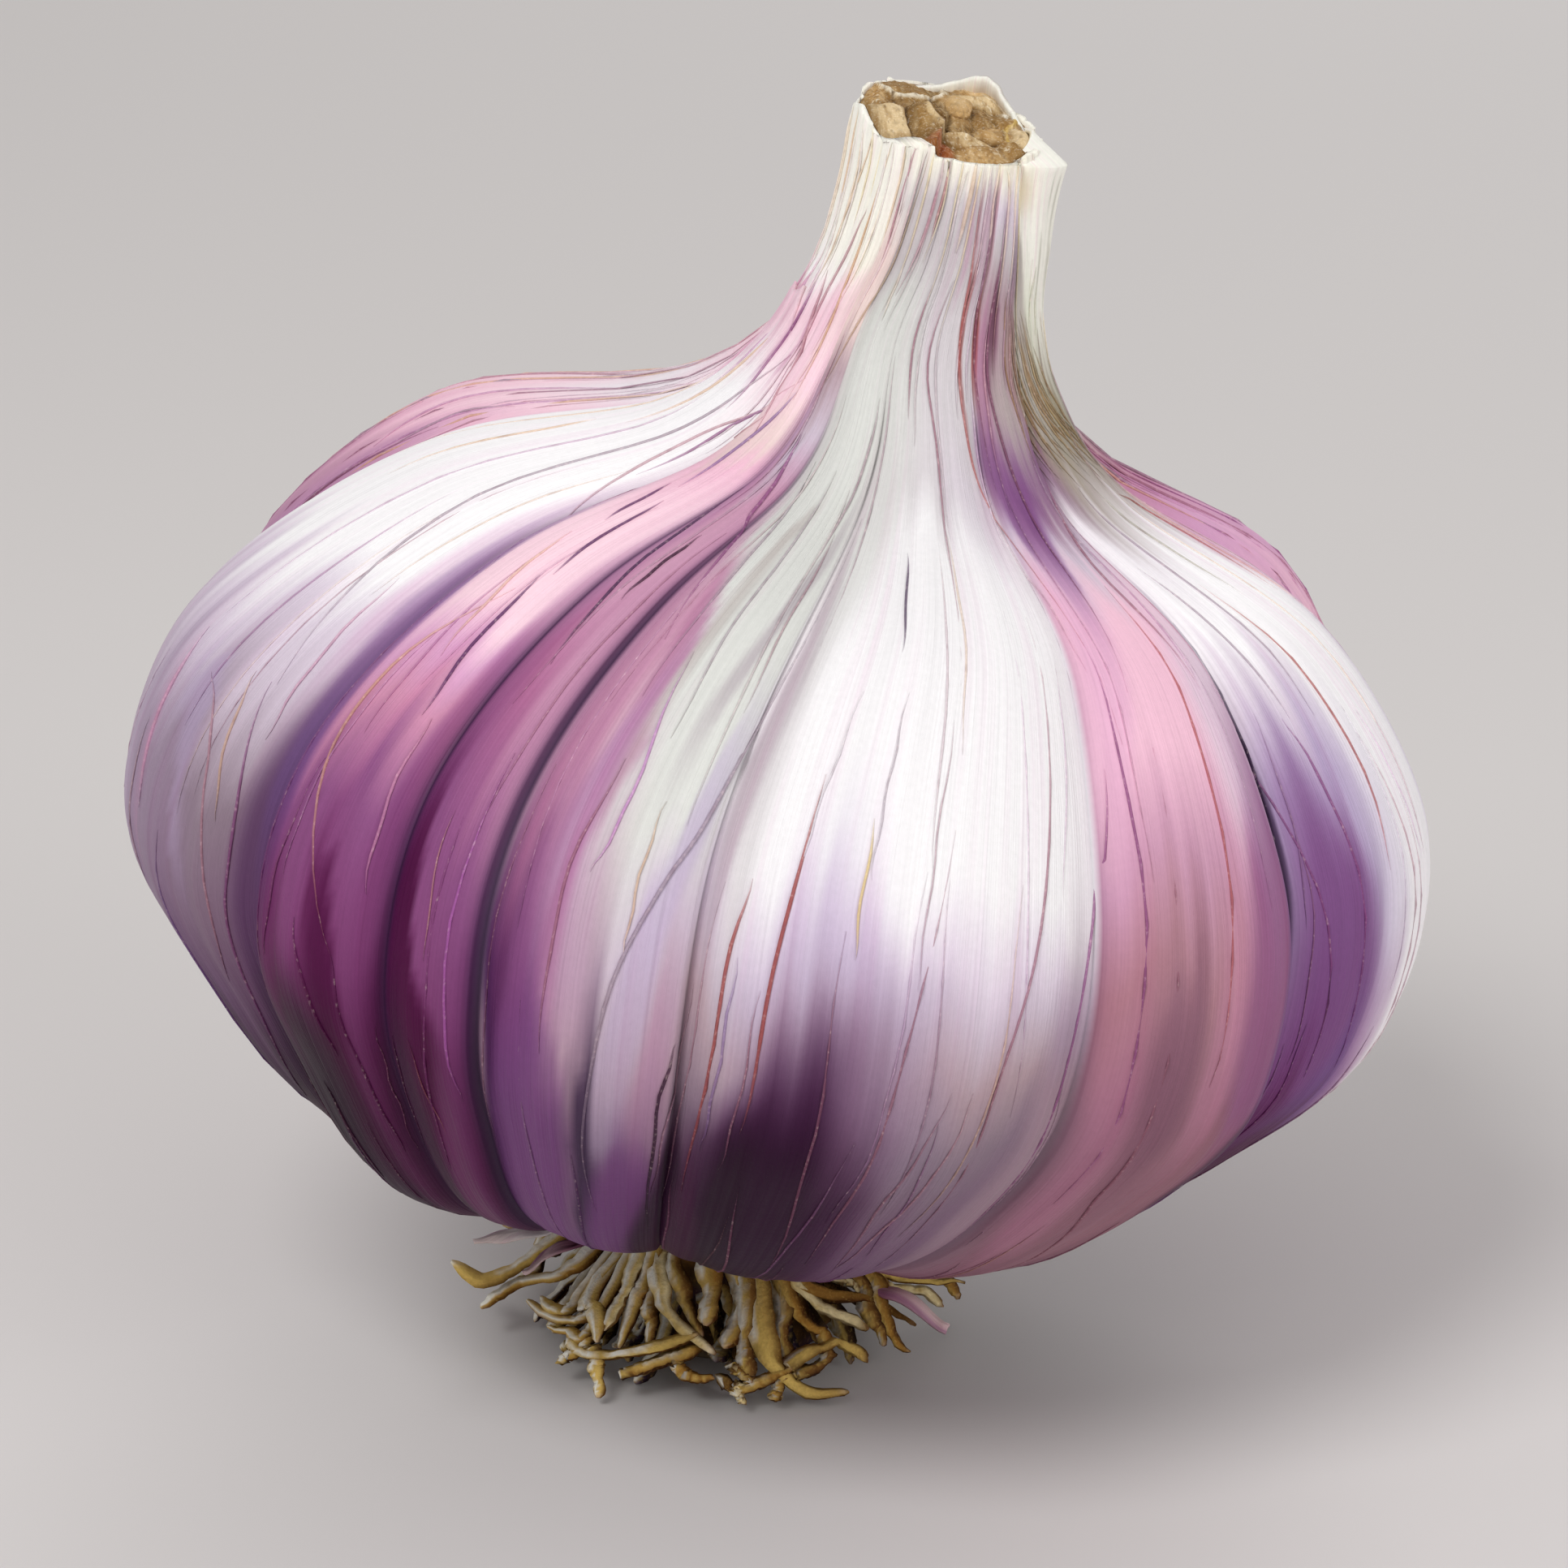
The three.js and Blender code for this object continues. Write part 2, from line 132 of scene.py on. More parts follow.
# ---- the cloves, each from its left crease round to the next ----
# at: the left crease's place. depth: how deep that crease is. over: 1 where the clove on the crease's
# right lies on top, -1 where the left one does. shoulder: how much fuller the clove's upper side is.
# tones: the clove's colours up its middle, each with how far along the bulb it is.
CLOVES = (
    dict(at=-49, depth=0.9, over=1, shoulder=0.0, tones=(
        ("aubergine", 0.1), ("aubergine", 0.22), ("wine", 0.28), ("plum", 0.345), ("mulberry", 0.4),
        ("rose", 0.438), ("orchid", 0.46), ("blush", 0.484), ("blush", 0.53), ("pink", 0.57),
        ("petal", 0.6), ("blush", 0.66), ("blush", 0.73), ("ivory", 0.785), ("cream", 0.88))),
    dict(at=-33, depth=0.8, over=-1, shoulder=0.0, tones=(
        ("aubergine", 0.1), ("wine", 0.22), ("plum", 0.33), ("mulberry", 0.41), ("raspberry", 0.47),
        ("dusty", 0.52), ("dusty", 0.565), ("haze", 0.61), ("fawn", 0.67), ("petal", 0.725),
        ("petal", 0.82), ("ash", 0.88), ("ivory", 0.94))),
    dict(at=-24, depth=0.8, over=-1, shoulder=-0.2, tones=(
        ("aubergine", 0.08), ("grape", 0.2), ("heather", 0.27), ("fawn", 0.33), ("haze", 0.38),
        ("grey", 0.43), ("grey", 0.73), ("ash", 0.8), ("ash", 0.89), ("ivory", 0.97))),
    dict(at=-6, depth=0.45, over=1, shoulder=0.3, tones=(
        ("aubergine", 0.06), ("grape", 0.16), ("heather", 0.24), ("smoke", 0.31), ("fawn", 0.355),
        ("haze", 0.385), ("lilac", 0.4), ("frost", 0.43), ("frost", 0.56), ("mist", 0.6),
        ("mist", 0.65), ("mist", 0.74), ("ash", 0.82), ("mist", 0.9), ("ivory", 0.945),
        ("cream", 0.98))),
    dict(at=29, depth=0.5, over=1, shoulder=0.0, tones=(
        ("claret", 0.06), ("rosewood", 0.2), ("rosewood", 0.34), ("clay", 0.4), ("dusty", 0.44),
        ("pink", 0.48), ("pink", 0.53), ("haze", 0.565), ("fawn", 0.59), ("fawn", 0.65),
        ("fawn", 0.77), ("ash", 0.83), ("lilac", 0.88), ("ivory", 0.94))),
    dict(at=51, depth=0.75, over=-1, shoulder=0.3, tones=(
        ("ink", 0.06), ("aubergine", 0.2), ("grape", 0.28), ("mulberry", 0.32), ("lavender", 0.4),
        ("lavender", 0.45), ("lilac", 0.49), ("white", 0.52), ("pearl", 0.56), ("stone", 0.6),
        ("olive", 0.64), ("putty", 0.69), ("greenish", 0.76), ("cream", 0.85), ("ivory", 0.96))),
    dict(at=103, depth=2.0, over=-1, shoulder=1.7, tones=(
        ("wine", 0.06), ("plum", 0.24), ("mauve", 0.38), ("pink", 0.46), ("orchid", 0.53),
        ("rose", 0.58), ("putty", 0.64), ("greenish", 0.75), ("ivory", 0.9))),
    dict(at=131, depth=1.8, over=-1, shoulder=0.2, tones=(
        ("aubergine", 0.06), ("grape", 0.2), ("lavender", 0.34), ("lilac", 0.44), ("white", 0.55),
        ("pearl", 0.66), ("greenish", 0.78), ("ivory", 0.92))),
    dict(at=162, depth=1.9, over=1, shoulder=0.5, tones=(
        ("wine", 0.06), ("plum", 0.2), ("mauve", 0.33), ("lilac", 0.43), ("pearl", 0.54),
        ("pink", 0.63), ("petal", 0.74), ("ivory", 0.9))),
    dict(at=194, depth=1.8, over=-1, shoulder=0.2, tones=(
        ("aubergine", 0.06), ("wine", 0.17), ("mulberry", 0.33), ("orchid", 0.44), ("pink", 0.54),
        ("blush", 0.66), ("white", 0.76), ("ivory", 0.9))),
    dict(at=225, depth=2.0, over=-1, shoulder=1.9, tones=(
        ("wine", 0.06), ("plum", 0.22), ("mauve", 0.36), ("dusty", 0.45), ("pink", 0.49),
        ("blush", 0.53), ("pearl", 0.58), ("blush", 0.64), ("cream", 0.74), ("ivory", 0.9))),
    dict(at=256, depth=2.0, over=1, shoulder=-0.8, tones=(
        ("ink", 0.08), ("aubergine", 0.2), ("grape", 0.25), ("heather", 0.3), ("smoke", 0.37),
        ("haze", 0.42), ("lilac", 0.445), ("white", 0.475), ("white", 0.63), ("blush", 0.7),
        ("white", 0.76), ("cream", 0.92))),
)
# How many degrees a crease's slope takes on the clove that lies on top, and on the one below.
SHARP_SIDE, SOFT_SIDE = 1.3, 6.5

# ---- washes of colour laid over the cloves; some are painted shade, marked where they stand ----
# paint, strength, softness of the edge, and the path up the skin: angle, along, half width in degrees.
WASHES = (
    # the far left clove
    # painted shadow: an indigo band on the far left clove beside the crease at -49, with a violet line in
    # the crease
    ("indigo", 0.6, 0.6, ((-52, 0.16, 3), (-52, 0.3, 2.6), (-51.5, 0.4, 2.2), (-51, 0.46, 1.6),
                          (-50.5, 0.52, 0.8))),
    ("violet", 0.5, 0.5, ((-51, 0.36, 1), (-51.6, 0.42, 1.6), (-52.6, 0.46, 1.4), (-52, 0.52, 0.6))),
    ("lavender", 0.5, 0.5, ((-62, 0.33, 0.8), (-66, 0.38, 2.3), (-70, 0.42, 0.7))),
    ("rose", 0.4, 0.5, ((-70, 0.3, 0.8), (-72, 0.37, 1), (-74, 0.42, 0.5))),
    ("lilac", 0.6, 0.7, ((-80, 0.16, 7), (-82, 0.35, 7), (-84, 0.43, 3))),
    ("lavender", 0.35, 0.8, ((-72, 0.2, 9), (-74, 0.36, 10), (-76, 0.42, 8))),
    ("orchid", 0.35, 0.6, ((-53, 0.42, 1.6), (-54, 0.46, 2.3), (-53, 0.5, 2), (-52, 0.55, 1.2))),
    ("violet", 0.5, 0.5, ((-95, 0.1, 6), (-97, 0.3, 5), (-99, 0.42, 2.5))),
    # the purple clove left of the front
    ("violet", 0.6, 0.4, ((-46.5, 0.32, 1.4), (-47, 0.4, 1.7), (-47.5, 0.45, 1.4), (-48, 0.52, 0.7))),
    ("aubergine", 0.8, 0.6, ((-45, 0.1, 8), (-44, 0.22, 5.5), (-43, 0.28, 3.5), (-42, 0.32, 1.6))),
    ("mulberry", 0.5, 0.5, ((-45, 0.27, 1.8), (-46, 0.32, 1.6), (-45, 0.37, 1))),
    ("wine", 0.8, 0.5, ((-37, 0.18, 3), (-36.5, 0.27, 2.4), (-38, 0.33, 1.4), (-40, 0.38, 0.6))),
    # painted shadow beside the crease at -33
    ("plum", 0.5, 0.5, ((-34, 0.18, 2.2), (-34.5, 0.3, 2), (-34, 0.4, 1.6), (-33.5, 0.49, 1))),
    ("rose", 0.15, 0.8, ((-46, 0.57, 5), (-44, 0.6, 6), (-42, 0.63, 4))),
    # painted shade: a near-black wash over the low left of the bulb, darker than the purple there
    ("near_black", 0.6, 0.7, ((-50, 0.18, 9), (-46, 0.25, 8), (-44, 0.31, 4))),
    ("wine", 0.5, 0.6, ((-44, 0.29, 3), (-45, 0.34, 3), (-46, 0.38, 1.4))),
    # the narrow wine clove and its neighbour
    # partly the clove's own wine colour, partly painted shadow where the clove on the left overlaps it
    ("wine", 0.97, 0.3, ((-31, 0.12, 5.2), (-30.4, 0.25, 4.8), (-30.4, 0.31, 3.6), (-31, 0.36, 2.2),
                         (-32, 0.41, 0.9))),
    ("aubergine", 0.6, 0.6, ((-31.4, 0.1, 3.4), (-31.4, 0.24, 2.6), (-31.6, 0.31, 1.2))),
    # painted shadow under the overlapping edge at the crease at -33, higher up
    ("mauve", 0.45, 0.6, ((-32, 0.48, 1.5), (-32, 0.55, 2), (-33, 0.6, 2), (-32, 0.66, 1.5))),
    ("plum", 0.6, 0.4, ((-27, 0.16, 2.4), (-26.6, 0.24, 2), (-26.4, 0.3, 1.2))),
    # partly the clove's own dark violet, partly painted shadow where the clove on the left overlaps it at
    # the crease at -24
    ("indigo", 0.97, 0.3, ((-21.6, 0.1, 2.6), (-21.3, 0.22, 1.9), (-21.2, 0.3, 1.8), (-21, 0.36, 2.1),
                           (-21.3, 0.41, 1.6), (-22, 0.45, 0.9), (-22.8, 0.5, 0.5))),
    ("dusty", 0.85, 0.45, ((-25, 0.45, 2), (-25, 0.5, 2.4), (-25, 0.53, 1))),
    ("dusty", 0.85, 0.45, ((-21, 0.41, 3), (-21.5, 0.46, 3.4), (-22, 0.5, 3), (-23, 0.55, 1.2))),
    ("raspberry", 0.7, 0.4, ((-16.5, 0.43, 0.6), (-16.5, 0.46, 1.6), (-18.5, 0.49, 1.6), (-20, 0.52, 1))),
    ("mauve", 0.85, 0.35, ((-18.5, 0.16, 2.8), (-18.5, 0.25, 2.8), (-18, 0.33, 2.3), (-18, 0.4, 2.2),
                           (-17.5, 0.44, 1.6), (-17, 0.48, 0.8))),
    ("raspberry", 0.5, 0.3, ((-17.5, 0.28, 1.2), (-17, 0.38, 1.2), (-16.5, 0.43, 0.8))),
    ("purple", 0.9, 0.25, ((-17, 0.08, 7), (-17.6, 0.2, 5.4), (-18, 0.28, 4.6), (-18.4, 0.335, 3.2),
                           (-18.8, 0.37, 1.6))),
    ("fawn", 0.5, 0.6, ((-15, 0.32, 2.4), (-14.4, 0.38, 2), (-14, 0.43, 1.4))),
    ("plum", 0.5, 0.6, ((-20.4, 0.33, 1.5), (-20.4, 0.39, 1.9), (-20.6, 0.44, 1.5), (-21, 0.47, 0.8))),
    ("rose", 0.45, 0.6, ((-20.4, 0.42, 1.6), (-20.8, 0.46, 2), (-21.4, 0.51, 1.6))),
    ("mauve", 0.4, 0.7, ((-15, 0.33, 1.6), (-15.2, 0.39, 2), (-15, 0.44, 1.4))),
    ("heather", 0.6, 0.4, ((-14.2, 0.18, 1.4), (-14, 0.3, 1.2), (-13, 0.38, 0.5))),
    # painted shadow: a translucent grey-violet band low by the crease at -6
    ("lavender", 0.5, 0.4, ((-12, 0.25, 1.9), (-11, 0.33, 1.8), (-10, 0.37, 1.5), (-8.5, 0.41, 1.3),
                            (-7, 0.46, 0.8))),
    ("russet", 0.35, 0.8, ((-56, 0.08, 6), (-54, 0.17, 5))),
    # the dark line at that painted shadow's left edge
    ("ink", 0.75, 0.4, ((-13.5, 0.16, 0.7), (-13.4, 0.28, 0.9), (-12.6, 0.36, 0.4))),
    ("purple", 0.8, 0.5, ((-12, 0.06, 7), (-11, 0.17, 4.4), (-10, 0.23, 3), (-9.5, 0.28, 1.2))),
    ("mauve", 0.5, 0.5, ((-8, 0.26, 1.6), (-8, 0.31, 1.6), (-7.6, 0.36, 0.8))),
    # painted shade: near black low in the crease at -6
    ("near_black", 0.9, 0.5, ((-7, 0.08, 3.4), (-6.5, 0.18, 2.6), (-5.5, 0.24, 1.6), (-5.5, 0.29, 0.5))),
    ("stone", 0.6, 0.5, ((-16, 0.46, 0.7), (-16, 0.56, 1), (-14, 0.59, 0.5))),
    ("smoke", 0.4, 0.5, ((-11, 0.46, 0.7), (-8, 0.54, 1.1), (-7, 0.58, 0.5))),
    ("smoke", 0.6, 0.45, ((-5.5, 0.38, 0.6), (-5, 0.43, 1), (-3.6, 0.5, 1.1), (-5, 0.57, 0.6))),
    # painted shadow: grey, just right of the crease at -6
    ("ash", 0.55, 0.7, ((-4, 0.38, 2), (-4, 0.44, 2.2), (-3, 0.5, 1.6), (-3, 0.55, 2))),
    # the wide front clove
    ("lavender", 0.5, 0.8, ((7, 0.3, 8), (6, 0.38, 7), (5, 0.42, 4))),
    ("grape", 0.85, 0.45, ((3, 0.05, 11), (3, 0.2, 9), (3.6, 0.27, 8), (4.4, 0.33, 6.5), (5, 0.35, 4.6))),
    ("aubergine", 0.95, 0.6, ((3, 0.05, 11), (2.5, 0.2, 9), (3, 0.26, 7.6), (3.4, 0.31, 5.5),
                              (4, 0.335, 3))),
    ("near_black", 0.35, 0.6, ((0, 0.08, 6), (0, 0.2, 3), (0.5, 0.27, 1.6), (0.5, 0.31, 0.8))),
    ("wine", 0.5, 0.5, ((-3.5, 0.08, 3), (-3.5, 0.22, 2), (-3.5, 0.27, 1))),
    ("heather", 0.5, 0.7, ((10, 0.29, 3), (10, 0.34, 3.4), (10, 0.38, 2))),
    ("heather", 0.5, 0.8, ((24, 0.14, 7), (26, 0.3, 4), (27, 0.37, 2), (27.5, 0.43, 1))),
    ("fawn", 0.55, 0.7, ((26.5, 0.14, 4), (27, 0.26, 3), (27.4, 0.36, 2))),
    ("grey", 0.6, 0.7, ((-4, 0.52, 3), (-2, 0.58, 5), (0, 0.66, 7), (-2, 0.74, 7))),
    ("lilac", 0.5, 0.8, ((22, 0.57, 6), (18, 0.63, 6))),
    ("orchid", 0.3, 0.7, ((27, 0.56, 2), (26, 0.61, 2))),
    ("dusty", 0.25, 0.7, ((23, 0.76, 3), (22, 0.84, 5), (24, 0.91, 4))),
    # the pink clove right of the front
    ("purple", 0.85, 0.4, ((46, 0.595, 12), (45, 0.63, 13))),
    ("purple", 0.75, 0.4, ((34, 0.545, 1.2), (34, 0.565, 3.4), (34, 0.6, 6), (33, 0.635, 6))),
    ("orchid", 0.45, 0.6, ((31, 0.46, 0.8), (32, 0.5, 2.4), (33, 0.54, 3), (34, 0.57, 2))),
    ("lilac", 0.7, 0.5, ((48, 0.42, 2.6), (47, 0.46, 4.4), (46, 0.5, 4.2), (46, 0.53, 3))),
    # painted shade, mauve-purple, left of the crease at 51
    ("mulberry", 0.75, 0.5, ((46, 0.31, 2.6), (45.6, 0.38, 3.6), (46, 0.43, 3.2), (46.8, 0.465, 1.8))),
    # partly the pink clove's own colour, partly painted shade, brownish and low on its left
    ("claret", 0.74, 0.8, ((35, 0.29, 1.4), (35.5, 0.33, 2.6), (36, 0.37, 2), (37, 0.41, 0.7))),
    ("claret", 0.4, 0.8, ((33, 0.27, 3), (33.6, 0.33, 3.6), (34.4, 0.38, 2))),
    ("claret", 0.25, 0.7, ((40, 0.14, 4), (38, 0.24, 4), (38, 0.3, 2))),
    ("clay", 0.4, 0.5, ((36, 0.12, 1.6), (39, 0.2, 2), (41, 0.27, 1.6))),
    ("aubergine", 0.7, 0.5, ((50, 0.14, 1.4), (49.4, 0.22, 2), (48.4, 0.27, 3), (48.4, 0.31, 2.4),
                             (49, 0.34, 1))),
    ("fawn", 0.3, 0.9, ((37, 0.16, 8), (36, 0.3, 7), (37, 0.42, 6))),
    ("rose", 0.4, 0.6, ((33, 0.2, 1.5), (31.5, 0.3, 1.5), (31, 0.38, 1.5))),
    ("rose", 0.45, 0.5, ((40, 0.3, 1), (40.5, 0.35, 1.8), (41, 0.42, 1.6))),
    ("violet", 0.5, 0.5, ((49.5, 0.2, 2), (49.5, 0.33, 1.6), (49.5, 0.44, 0.8))),
    # the violet clove on the right
    ("purple", 0.85, 0.6, ((57, 0.26, 7), (58.5, 0.33, 7.5), (59, 0.37, 6.8), (58, 0.41, 5),
                           (56.6, 0.45, 3))),
    ("wine", 0.6, 0.6, ((58, 0.2, 9), (57, 0.26, 7), (56, 0.3, 4), (55.6, 0.33, 1.6))),
    ("violet", 0.6, 0.6, ((62, 0.27, 6), (64, 0.32, 5), (64, 0.36, 2))),
    ("wine", 0.8, 0.6, ((58, 0.08, 12), (60, 0.2, 10), (61, 0.26, 7), (62, 0.3, 3))),
    # painted shade: a dark line in the bottom of the crease at 51
    ("ink", 0.9, 0.5, ((52.6, 0.2, 1.5), (52, 0.3, 0.95), (52, 0.4, 0.6), (52.2, 0.47, 0.45),
                       (52.6, 0.52, 0.3))),
    # partly the clove's own white, partly a painted rim light along the bulb's right edge
    ("white", 0.95, 0.5, ((82, 0.2, 10), (79, 0.34, 9.4), (77, 0.4, 9.6), (76, 0.46, 10),
                          (74, 0.53, 10), (72, 0.57, 5))),
    ("rose", 0.65, 0.6, ((92, 0.51, 4), (91, 0.55, 6), (94, 0.58, 6))),
    ("mauve", 0.5, 0.6, ((94, 0.15, 5), (93, 0.3, 4), (93, 0.42, 2))),
    # the neck
    ("petal", 0.5, 0.6, ((-38, 0.69, 4), (-34, 0.74, 4), (-30, 0.79, 4))),
    ("blush", 0.5, 0.7, ((-58, 0.6, 3), (-58, 0.66, 6), (-58, 0.72, 7), (-58, 0.75, 4))),
    ("cream", 0.9, 0.7, ((-62, 0.76, 14), (-56, 0.84, 24), (-52, 0.97, 26))),
    ("plum", 0.45, 0.5, ((-64.5, 0.65, 0.6), (-63.5, 0.7, 1.4), (-66, 0.74, 0.8))),
    ("raspberry", 0.4, 0.5, ((-57, 0.64, 0.6), (-54.5, 0.68, 1.2), (-57, 0.72, 1.2))),
    ("rose", 0.4, 0.7, ((-84, 0.66, 3), (-84, 0.73, 5), (-86, 0.76, 4))),
    ("grey", 0.8, 0.7, ((-12, 0.6, 9), (-8, 0.7, 11), (-4, 0.77, 7))),
    ("dusty", 0.5, 0.7, ((14, 0.78, 1.4), (13.4, 0.85, 1.8), (13, 0.91, 1.2))),
    ("dusty", 0.3, 0.8, ((23, 0.79, 1.6), (22.6, 0.86, 2.2), (22, 0.91, 1.4))),
    ("russet", 0.6, 0.4, ((24, 0.66, 0.5), (22, 0.7, 0.9), (21, 0.74, 1.1), (20, 0.79, 0.8))),
    ("russet", 0.75, 0.4, ((28.6, 0.67, 0.8), (28.6, 0.72, 1.2), (28.4, 0.75, 1.3), (28, 0.79, 0.7))),
    ("raspberry", 0.5, 0.5, ((31, 0.64, 2), (32, 0.7, 3), (32, 0.76, 2))),
    ("claret", 0.7, 0.4, ((36.5, 0.69, 1.4), (37, 0.73, 2), (37, 0.77, 2.2), (35, 0.79, 1.4))),
    ("stone", 0.7, 0.6, ((41, 0.625, 4), (40, 0.66, 4.5), (38, 0.7, 2.5))),
    ("umber", 0.24, 0.6, ((60, 0.62, 6), (51, 0.66, 4.4), (47.5, 0.7, 3.4), (45.5, 0.76, 2.4))),
    ("stone", 0.75, 0.6, ((62, 0.64, 5), (58, 0.69, 4), (56, 0.74, 3.4), (54, 0.8, 3), (52, 0.86, 1.6))),
    ("umber", 0.2, 0.6, ((82, 0.61, 12), (72, 0.65, 9), (64, 0.69, 5), (58, 0.73, 3))),
    ("clay", 0.4, 0.6, ((-12, 0.82, 0.5), (-11.5, 0.87, 0.8), (-12, 0.92, 0.5))),
    ("clay", 0.55, 0.4, ((18.5, 0.79, 0.6), (18, 0.85, 0.9), (17.4, 0.93, 1))),
    ("clay", 0.55, 0.4, ((28.6, 0.8, 0.8), (28.6, 0.86, 1), (30, 0.94, 0.9))),
    ("heather", 0.5, 0.6, ((47, 0.77, 2), (47.5, 0.81, 3.4), (48, 0.86, 1.6))),
    ("cream", 0.85, 0.5, ((84, 0.7, 10), (80, 0.76, 14), (80, 0.92, 18))),
    ("straw", 0.25, 0.7, ((40, 0.97, 16), (38, 0.99, 18))),
    # round the back
    ("violet", 0.7, 0.5, ((107, 0.1, 4), (107, 0.3, 3.4), (106, 0.45, 1.6))),
    ("wine", 0.7, 0.5, ((127, 0.12, 4), (127, 0.34, 2.6), (128, 0.48, 1))),
    ("orchid", 0.5, 0.6, ((145, 0.2, 5), (146, 0.36, 4), (147, 0.46, 2))),
    ("indigo", 0.8, 0.4, ((165, 0.1, 4), (165, 0.3, 2.6), (164, 0.46, 1))),
    ("magenta", 0.5, 0.5, ((176, 0.2, 4), (177, 0.34, 3), (178, 0.47, 1.4))),
    ("wine", 0.75, 0.5, ((190, 0.1, 4), (190, 0.3, 3), (191, 0.45, 1.4))),
    ("plum", 0.8, 0.4, ((205, 0.1, 5), (204, 0.26, 3.4), (203, 0.4, 1.4))),
    ("ink", 0.7, 0.5, ((222, 0.1, 4), (222, 0.32, 2.6), (223, 0.47, 1.2))),
    ("violet", 0.6, 0.5, ((238, 0.12, 5), (239, 0.3, 3.6), (240, 0.42, 1.6))),
    ("mauve", 0.5, 0.6, ((250, 0.2, 3), (251, 0.4, 2.4), (252, 0.5, 1.2))),
)

